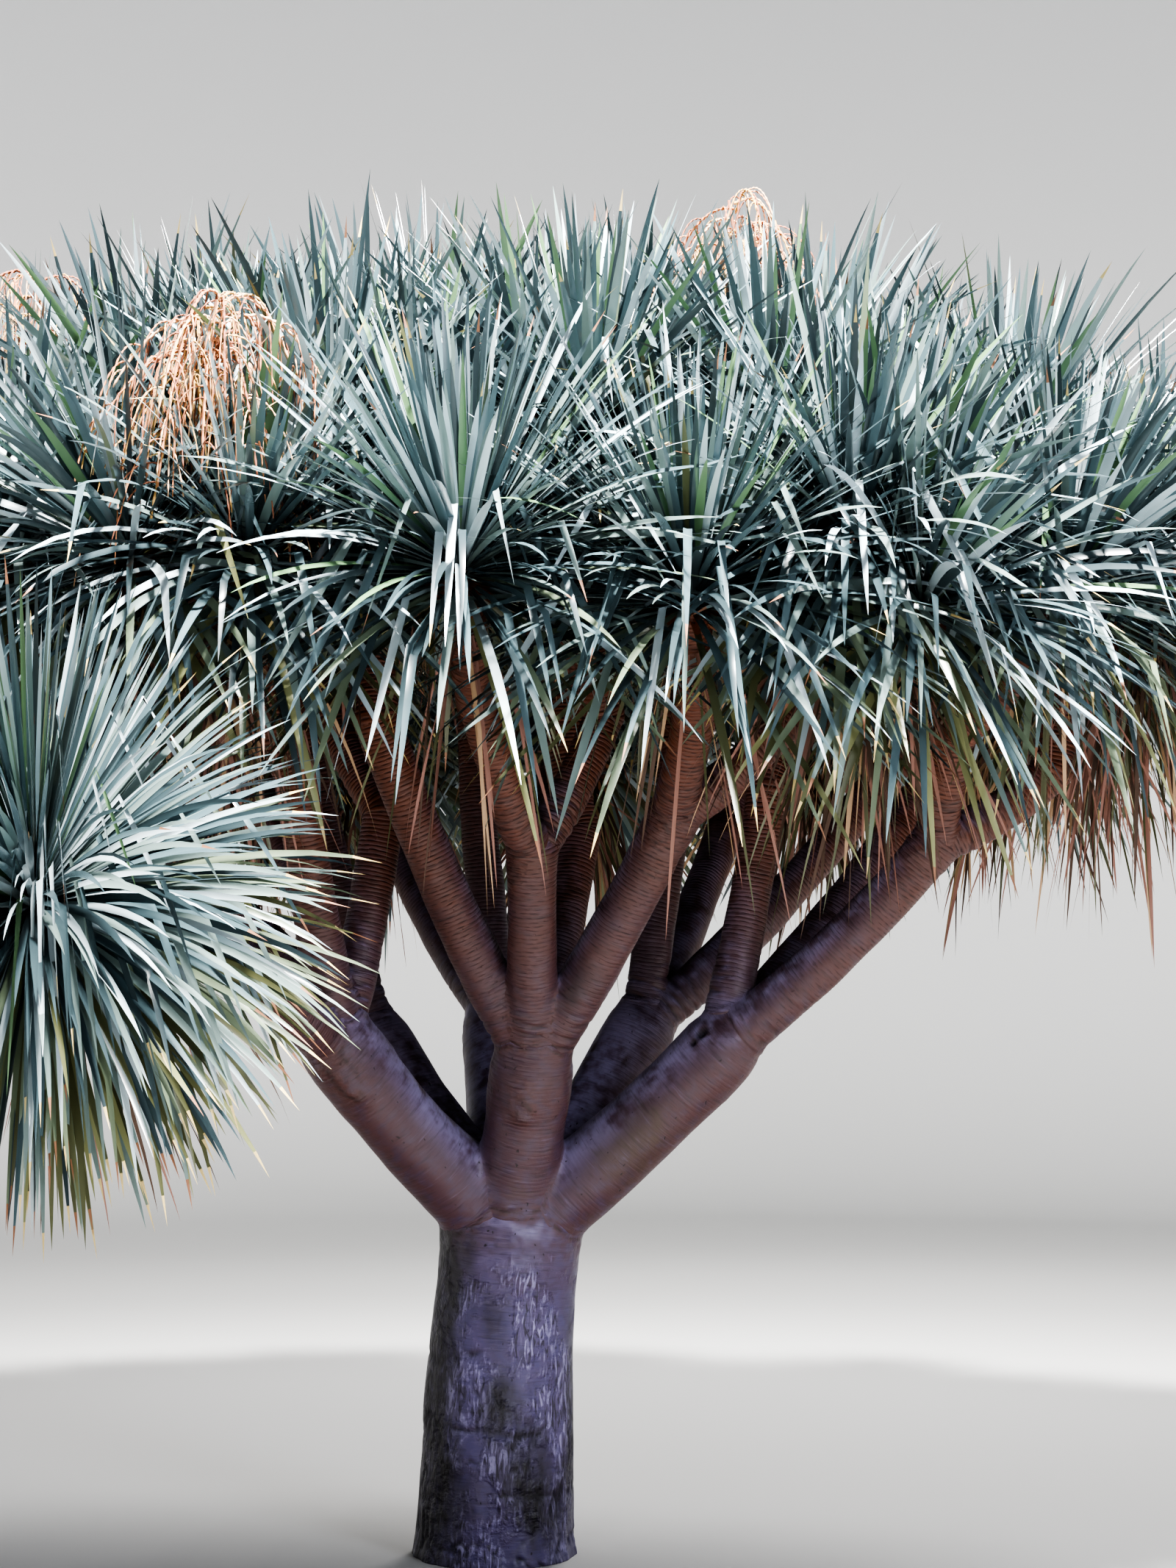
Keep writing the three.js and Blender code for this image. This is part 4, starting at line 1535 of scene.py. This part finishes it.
    def model(self, limb: Limb, bark: bpy.types.Material, seed: int) -> bpy.types.Object:
        """Models one stem or twig with its rows of leaf scars.

        Args:
            limb: The stem or twig.
            bark: Its material.
            seed: Picks its unevenness.

        Returns:
            The piece.
        """
        sunk = self.sunk * limb.parent.tip_radius
        line = limb.arc.points(np.linspace(0, 1, self.line_points))
        below = line[:1] - limb.parent.arc.ahead * sunk
        path = Path(np.concatenate([below, line]), self.step, self.soften)
        tube = BarkTube(limb.name, path, self.around)
        share = np.clip((tube.along - sunk) / (path.along[-1] - sunk), 0, 1)
        tube.shape_rounded(limb.radius_at(share), sunk, self.closing)
        gap = tube.flow_into([other.samples(0.03) for other in limb.neighbours(self.wood)], self.softness)
        places = tube.places
        rows = tube.along / SCAR_ROW + 0.4 * Noise(seed)(places * 9)
        relief = self.swell * Noise(seed + 1).layered(places * 9, 2) - self.ridge * np.cos(math.tau * rows)
        tube.shape(tube.radius + relief * ease(tube.radius, 0.01, 0.035))
        tube.mark("rows", rows)
        tube.mark("crease", crease_at(gap, 0.006))
        tube.mark("age", 0.96 + 0.04 * share)
        return tube.finish(bark)

    def leaves(self, name: str, rosettes: Sequence[Rosette], seed: int) -> bpy.types.Object:
        """All leaves of one mass, joined.

        Args:
            name: The piece's name.
            rosettes: The mass's rosettes.
            seed: Picks the unevenness of its leaves.

        Returns:
            The piece.
        """
        chance = np.random.default_rng(seed)
        grown = [self.living(rosette, chance) for rosette in rosettes]
        grown += [self.blades(rosette, self.dead(rosette, chance)) for rosette in rosettes]
        grown += [self.blades(rosette, self.torn(rosette, chance)) for rosette in rosettes if rosette.stub]
        stations = np.concatenate([places for places, _ in grown])
        tints = np.concatenate([tints for _, tints in grown])
        count, corners_each, _ = stations.shape
        first = np.arange(count)[:, None, None] * corners_each
        sections = len(self.widths)
        quads = [
            (3 * k + side, 3 * k + side + 1, 3 * k + side + 4, 3 * k + side + 3)
            for k in range(sections - 1)
            for side in (0, 1)
        ]
        last = 3 * (sections - 1)
        points = [(last + side, last + side + 1, last + 3) for side in (0, 1)]
        faces = [face for kind in (quads, points) for face in (first + kind).reshape(-1, len(kind[0])).tolist()]
        dealt = np.concatenate([np.repeat(part, 2, axis=1).ravel() for part in (tints[:, :-1], tints[:, -1:])])
        materials = [tint.material() for tint in LeafTint]
        return mesh_piece(name, stations.reshape(-1, 3), faces, dealt, materials)

    def living(self, rosette: Rosette, chance: np.random.Generator) -> Pair:
        """The living leaves of one rosette, opening from its axis by the golden angle.

        Args:
            rosette: The rosette.
            chance: The mass's own chance.

        Returns:
            The corners of each leaf and the tint of each of its sections.
        """
        count = rosette.leaves
        index = np.arange(count)
        age = (index + 0.5) / count
        tilt = math.radians(self.opening) * age**rosette.closeness
        tilt = np.maximum(tilt + chance.normal(0, 0.06, count), 0.03)
        turn = index * GOLDEN_TURN + chance.uniform(-0.2, 0.2, count)
        length = rosette.length * (0.74 + 0.26 * ease(age, 0.0, 0.22)) * chance.uniform(0.86, 1.06, count)
        droop = self.droop * (0.35 + 0.75 * age * (1 + 0.6 * rosette.outer)) * chance.uniform(0.5, 1.5, count)
        kinked = self.kinked * (self.fixed_kinked if rosette.closeness == self.fixed_closeness else 1)
        kink = np.where((chance.random(count) < kinked) & (age > 0.12), chance.integers(3, 6, count), NEVER)
        twist = chance.normal(0, self.twist, count)
        width = rosette.width * chance.uniform(0.88, 1.1, count)
        heading = rosette.axis[2] * np.cos(tilt) + rosette.radial(turn)[:, 2] * np.sin(tilt)
        dull = np.clip(age + self.hanging_age * (1 - rosette.bare) * ease(-heading, 0.1, 0.8), 0, 1)
        tints = self.dealt(self.picked(dull, chance))
        tints[age > self.sheath_age, 0] = LeafTint.SHEATH.index
        dry = chance.random(count) < self.dry_share + 0.5 * ease(dull, 0.6, 1.0)
        straw = chance.random(dry.sum()) < self.straw_share
        tints[dry, -1] = np.where(straw, LeafTint.STRAW_TIP.index, LeafTint.BROWN_TIP.index)
        root = rosette.place + rosette.axis * (0.04 - 0.13 * age)[:, None]
        keep = chance.random(count) > rosette.bare * ease(-heading, 0.0, 0.6)
        return self.blades(rosette, Leaves(tilt, turn, length, width, droop, kink, twist, tints, root), keep)

    def picked(self, dull: Array, chance: np.random.Generator) -> Array:
        """Picks each leaf's green by how dull it has grown.

        Args:
            dull: How dull each leaf is, up to 1.
            chance: The mass's own chance.

        Returns:
            Which tint each leaf has.
        """
        paints = [tint.value for tint in GREENS]
        common, centre, spread = np.array([(paint.share, paint.age, paint.spread) for paint in paints]).T
        odds = common * np.exp(-(((dull[:, None] - centre) / spread) ** 2)) + 0.01
        odds = np.cumsum(odds / odds.sum(axis=1, keepdims=True), axis=1)
        pick = np.minimum((chance.random(len(dull))[:, None] > odds).sum(axis=1), len(GREENS) - 1)
        return np.array([tint.index for tint in GREENS])[pick]

    def dealt(self, tints: Array) -> Array:
        """Each leaf's tint for each of its sections."""
        return np.repeat(tints[:, None], len(self.widths), axis=1)

    def dead(self, rosette: Rosette, chance: np.random.Generator) -> Leaves:
        """The withered leaves that hang under one rosette."""
        count = round(rosette.leaves * (self.dead_share + self.skirt_share * rosette.outer))
        return Leaves(
            tilt=np.radians(chance.uniform(110, 165, count)),
            turn=chance.uniform(0, math.tau, count),
            length=rosette.length * chance.uniform(0.55, 1.0 + 0.1 * rosette.outer, count),
            width=rosette.width * chance.uniform(0.35, 0.65, count),
            droop=chance.uniform(1.2, 2.6, count),
            kink=np.where(chance.random(count) < 0.4, chance.integers(1, 4, count), NEVER),
            twist=chance.normal(0, 1.6, count),
            tints=self.dealt(chance.choice([tint.index for tint in WITHERED], count)),
            root=rosette.place - rosette.axis * chance.uniform(0.12, 0.2 + 0.2 * rosette.outer, count)[:, None],
        )

    def torn(self, rosette: Rosette, chance: np.random.Generator) -> Leaves:
        """The torn ends that an old flower stalk has left in a rosette's heart."""
        count = rosette.stub
        return Leaves(
            tilt=np.radians(chance.uniform(8, 60, count)),
            turn=chance.uniform(0, math.tau, count),
            length=chance.uniform(0.05, 0.12, count),
            width=rosette.width * chance.uniform(0.7, 1.4, count),
            droop=(droop := chance.uniform(0, 1.5, count)),
            kink=np.full(count, NEVER),
            twist=droop,
            tints=self.dealt(chance.choice([tint.index for tint in TORN], count)),
            root=np.repeat((rosette.place + rosette.axis * 0.1)[None], count, axis=0),
        )

    def blades(self, rosette: Rosette, leaves: Leaves, keep: Array | bool = True) -> Pair:
        """Lays the blades, shortens those that leave the crown's box and drops those that meet wood.

        Args:
            rosette: The rosette.
            leaves: Its leaves.
            keep: Whether each is still there.

        Returns:
            The corners of each leaf that is left and the tint of each of its sections.
        """
        for _ in range(self.shortenings):
            corners = self.lay(rosette, leaves)
            over = np.maximum(self.low - corners, corners - self.high).max(axis=(1, 2)) > 0
            if not over.any():
                break
            leaves.length = np.where(over, leaves.length * self.shortened, leaves.length)
        middles = corners[:, 7::3]
        few = np.linspace(0, 1, 5)
        near = [
            limb.samples(0.06)
            for limb in self.wood
            if np.linalg.norm(limb.arc.points(few) - rosette.place, axis=1).min() < self.wood_reach
        ]
        gap = gaps(middles.reshape(-1, 3), near).min(axis=0).reshape(middles.shape[:2])
        clear = (gap.min(axis=1) > self.wood_gap) & ~over & keep
        return corners[clear], leaves.tints[clear]

    def lay(self, rosette: Rosette, leaves: Leaves) -> Array:
        """The corners of the blades: three across at each station, one at the point."""
        sin, cos = np.sin(leaves.tilt)[:, None], np.cos(leaves.tilt)[:, None]
        radial = rosette.radial(leaves.turn)
        heading = rosette.axis * cos + radial * sin
        face = rosette.axis * sin - radial * cos
        place = leaves.root + radial * self.root_outset
        corners = []
        weights = 0.35 + np.array(self.shares[1:])
        weights /= weights.sum()
        for k, (wide, keel, step) in enumerate(zip(self.widths, self.keels, np.diff(self.shares))):
            across = np.cross(heading, face)
            half = (leaves.width * wide / 2)[:, None]
            raised = place + face * half * 2 * keel
            corners += [raised - across * half, place, raised + across * half]
            levelness = np.sqrt(np.clip(1 - heading[:, 2] ** 2, 0, 1))
            fall = (leaves.droop * weights[k] * levelness)[:, None]
            folded = (leaves.kink == k)[:, None]
            heading = unit(np.where(folded, heading * 0.6 - UP, heading - UP * fall))
            face = unit(face - heading * (face * heading).sum(axis=1, keepdims=True))
            bend = (leaves.twist * step)[:, None]
            face = unit(face + np.cross(heading, face) * np.tan(np.clip(bend, -1, 1)))
            place = place + heading * (leaves.length * step)[:, None]
        corners.append(place)
        return np.stack(corners, axis=1)


@dataclass(frozen=True)
class StalkSpec:
    """A dried flower stalk: the limb whose mass bears it, the rosette there, its sizes, branches and lean."""

    on: str
    rosette: int
    height: float
    spread: float
    branches: int
    lean: float = 0.0


@dataclass
class FlowerStalks:
    """Dried flower stalks: a bare stalk under an umbrella of drooping, beaded strands."""

    skeleton: Skeleton
    specs: tuple[StalkSpec, ...] = (
        StalkSpec("limb_left_2", 1, 0.7, 0.33, 12, 0.14),
        StalkSpec("limb_right_1", 0, 0.86, 0.36, 11, -0.14),
        StalkSpec("limb_back_left_3", 0, 0.70, 0.3, 9),
    )
    radius: float = 0.014
    strand_radius: float = 0.0036
    fine_radius: float = 0.0021
    bead: float = 0.013
    side_strands: int = 14
    upright: float = 0.65
    branches_from: float = 0.62
    branch_turn: float = 222.5
    sides: int = 3

    def build(self) -> None:
        """Models and dresses the stalks."""
        for seed, spec in enumerate(self.specs):
            index = next(i for i, mass in enumerate(MASSES) if mass.on == spec.on)
            head = [head for head in self.skeleton.heads if head.mass == index][spec.rosette]
            strands = self.grow(spec, head, np.random.default_rng(seed + 500))
            name = MASSES[index].name
            hand_over(self.join(f"flower_stalk_{name}", strands), "foliage", f"foliage_{name}")

    def grow(self, spec: StalkSpec, head: Head, chance: np.random.Generator) -> list[Strand]:
        """Grows one stalk.

        Args:
            spec: The stalk.
            head: The head that it rises from.
            chance: The stalk's own chance.

        Returns:
            Points, radii and paint of each strand.
        """
        rise = (head.axis + (UP - head.axis) * self.upright) * spec.height + np.array([spec.lean, 0, 0])
        shares = np.linspace(-0.15, 1, 26)
        line = head.place + rise * shares[:, None] + level(40, 0.02) * np.sin(shares * 5)[:, None]
        strands = [(line, self.radius * (1.05 - 0.75 * np.clip(shares, 0, 1)), 0)]
        count = 2 * spec.branches
        for k in range(count):
            foot = head.place + rise * (self.branches_from + (1 - self.branches_from) * (k + 0.5) / count)
            azimuth = k * self.branch_turn + 25 * chance.random()
            out = level(azimuth, spec.spread * chance.uniform(0.55, 1.05))
            tip = foot + out - UP * spec.height * chance.uniform(0.25, 0.75)
            belly = foot + out * 0.55 + UP * spec.height * chance.uniform(0.05, 0.2)
            arc = Arc(foot, belly, tip)
            paint = int(chance.integers(1, len(StrawTint)))
            length = float(np.linalg.norm(tip - foot)) * 1.15
            strands.append(self.strand(arc, length, 8, self.strand_radius, paint))
            for at in np.linspace(0.14, 0.9, self.side_strands):
                start = arc.points([at])[0]
                aside = level(chance.uniform(0, 360))
                reach = spec.spread * chance.uniform(0.1, 0.4)
                drop = spec.spread * chance.uniform(0.3, 0.9)
                way = unit(unit(out) * 0.55 + aside * 0.75)
                fine = Arc(start, start + way * reach * 0.6 + UP * 0.02, start + way * reach - UP * drop)
                paint = int(chance.integers(1, len(StrawTint)))
                strands.append(self.strand(fine, (reach + drop) * 0.85, 6, self.fine_radius, paint))
        return strands

    def strand(self, arc: Arc, length: float, least: int, radius: float, paint: int) -> Strand:
        """One thin strand along a curve of about that length, with a bead at every second of its points."""
        count = max(least, round(length / self.bead))
        radii = radius * np.where(np.arange(count) % 2, 1.9, 0.8) * np.linspace(1, 0.6, count)
        return arc.points(np.linspace(0, 1, count)), radii, paint

    def join(self, name: str, strands: Sequence[Strand]) -> bpy.types.Object:
        """Joins strands into one piece, each a closed bar, the stalk's with three times as many sides.

        Args:
            name: The piece's name.
            strands: Points, radii and paint of each strand.

        Returns:
            The piece.
        """
        corners, faces, paints = [], [], []
        for line, radii, paint in strands:
            around = self.sides if paint else 3 * self.sides
            base = sum(map(len, corners))
            ahead = unit(np.gradient(line, axis=0))
            side = unit(np.cross(ahead, [0.37, 0.61, 0.2]))
            over = np.cross(ahead, side)
            turns = np.arange(around) * math.tau / around
            ring = side[:, None] * np.cos(turns)[:, None] + over[:, None] * np.sin(turns)[:, None]
            corners.append((line[:, None] + ring * radii[:, None, None]).reshape(-1, 3))
            last = base + (len(line) - 1) * around
            for low in range(base, last, around):
                for j in range(around):
                    beside = low + (j + 1) % around
                    faces.append((low + j, beside, beside + around, low + j + around))
            faces += [tuple(range(base + around - 1, base - 1, -1)), tuple(range(last, last + around))]
            paints += [paint] * ((len(line) - 1) * around + 2)
        materials = [tint.material() for tint in StrawTint]
        return mesh_piece(name, np.concatenate(corners), faces, np.array(paints), materials)


@dataclass(frozen=True)
class Lamp:
    """A soft square lamp: where it hangs, its side in metres, its power in watts and its colour."""

    name: str
    place: Triple
    side: float
    power: float
    colour: Triple
    aim: Triple = (0, 0, 2)

    def hang(self) -> None:
        """Adds the lamp, turned to the middle of the tree."""
        bpy.ops.object.light_add(type="AREA", location=self.place)
        lamp = bpy.context.object
        lamp.name = self.name
        x, y, z = np.array(self.place) - self.aim
        lamp.rotation_euler = (math.atan2(math.hypot(x, y), z), 0, math.atan2(x, -y))
        lamp.data.size = self.side
        lamp.data.energy = self.power
        lamp.data.color = self.colour


@dataclass
class Studio:
    """The pale floor, the soft lights and the camera where a visitor stands on the path."""

    eye: Triple = (0.2728, -8.0, 1.53)
    look_up: float = 5.24
    lens: float = 40.91
    frame_height: float = 24.0
    floor_reach: float = 14.0
    floor_bend: float = 14.0
    wall_height: float = 24.0
    lamps: tuple[Lamp, ...] = (
        Lamp("key", (0.4, -4.7, 10.5), 1.0, 9000.0, (1.0, 0.99, 0.96)),
        Lamp("fill", (6.0, -9.0, 4.5), 2.5, 560.0, (0.84, 0.89, 1.0)),
        Lamp("rim", (2.5, 7.5, 8.0), 3.0, 1800.0, (1.0, 0.98, 0.96)),
    )
    sky: Colour = (0.86, 0.9, 1.0, 1.0)
    sky_strength: float = 0.36
    contrast: str = "AgX - High Contrast"

    def build(self) -> None:
        """Sets up the whole studio."""
        self.add_floor()
        self.add_camera()
        for lamp in self.lamps:
            lamp.hang()
        world = bpy.data.worlds.new("studio")
        world.use_nodes = True
        background = world.node_tree.nodes["Background"]
        background.inputs["Color"].default_value = self.sky
        background.inputs["Strength"].default_value = self.sky_strength
        bpy.context.scene.world = world
        bpy.context.scene.view_settings.look = self.contrast

    def add_floor(self) -> None:
        """A floor that bends up into a wall far behind the tree."""
        bends = np.linspace(0, math.pi / 2, 40)
        out = [0.0, 4.0, 9.0, *(self.floor_reach + self.floor_bend * np.sin(bends))]
        high = [0.0, 0.0, 0.0, *(self.wall_height * (1 - np.cos(bends)))]
        mesh = bpy.data.meshes.new("studio_floor")
        mesh.from_pydata([(x, 0, z) for x, z in zip(out, high)], [(k, k + 1) for k in range(len(out) - 1)], [])
        floor = bpy.data.objects.new("studio_floor", mesh)
        bpy.context.collection.objects.link(floor)
        choose(floor)
        bpy.ops.object.mode_set(mode="EDIT")
        bpy.ops.mesh.select_all(action="SELECT")
        bpy.ops.mesh.spin(steps=96, angle=math.tau, center=(0, 0, 0), axis=(0, 0, 1))
        bpy.ops.mesh.select_all(action="SELECT")
        bpy.ops.mesh.remove_doubles(threshold=0.001)
        bpy.ops.object.mode_set(mode="OBJECT")
        bpy.ops.object.shade_smooth()
        floor.data.materials.append(FloorPaint().material())
        floor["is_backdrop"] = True

    def add_camera(self) -> None:
        """The camera, level from side to side, looking a little up."""
        bpy.ops.object.camera_add(location=self.eye, rotation=(math.radians(90 + self.look_up), 0, 0))
        camera = bpy.context.object
        camera.name = "visitor"
        camera.data.sensor_fit = "VERTICAL"
        camera.data.sensor_height = self.frame_height
        camera.data.lens = self.lens
        bpy.context.scene.camera = camera


def main() -> None:
    """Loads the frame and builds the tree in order."""
    logging.basicConfig(level=logging.INFO, format="%(name)s: %(message)s")
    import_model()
    low, high = (np.array(corner, float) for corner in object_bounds())
    skeleton = Skeleton()
    skeleton.grow()
    Studio().build()
    Timber(skeleton).build()
    Crown(skeleton, low, high).build()
    FlowerStalks(skeleton).build()


if __name__ == "__main__":
    main()
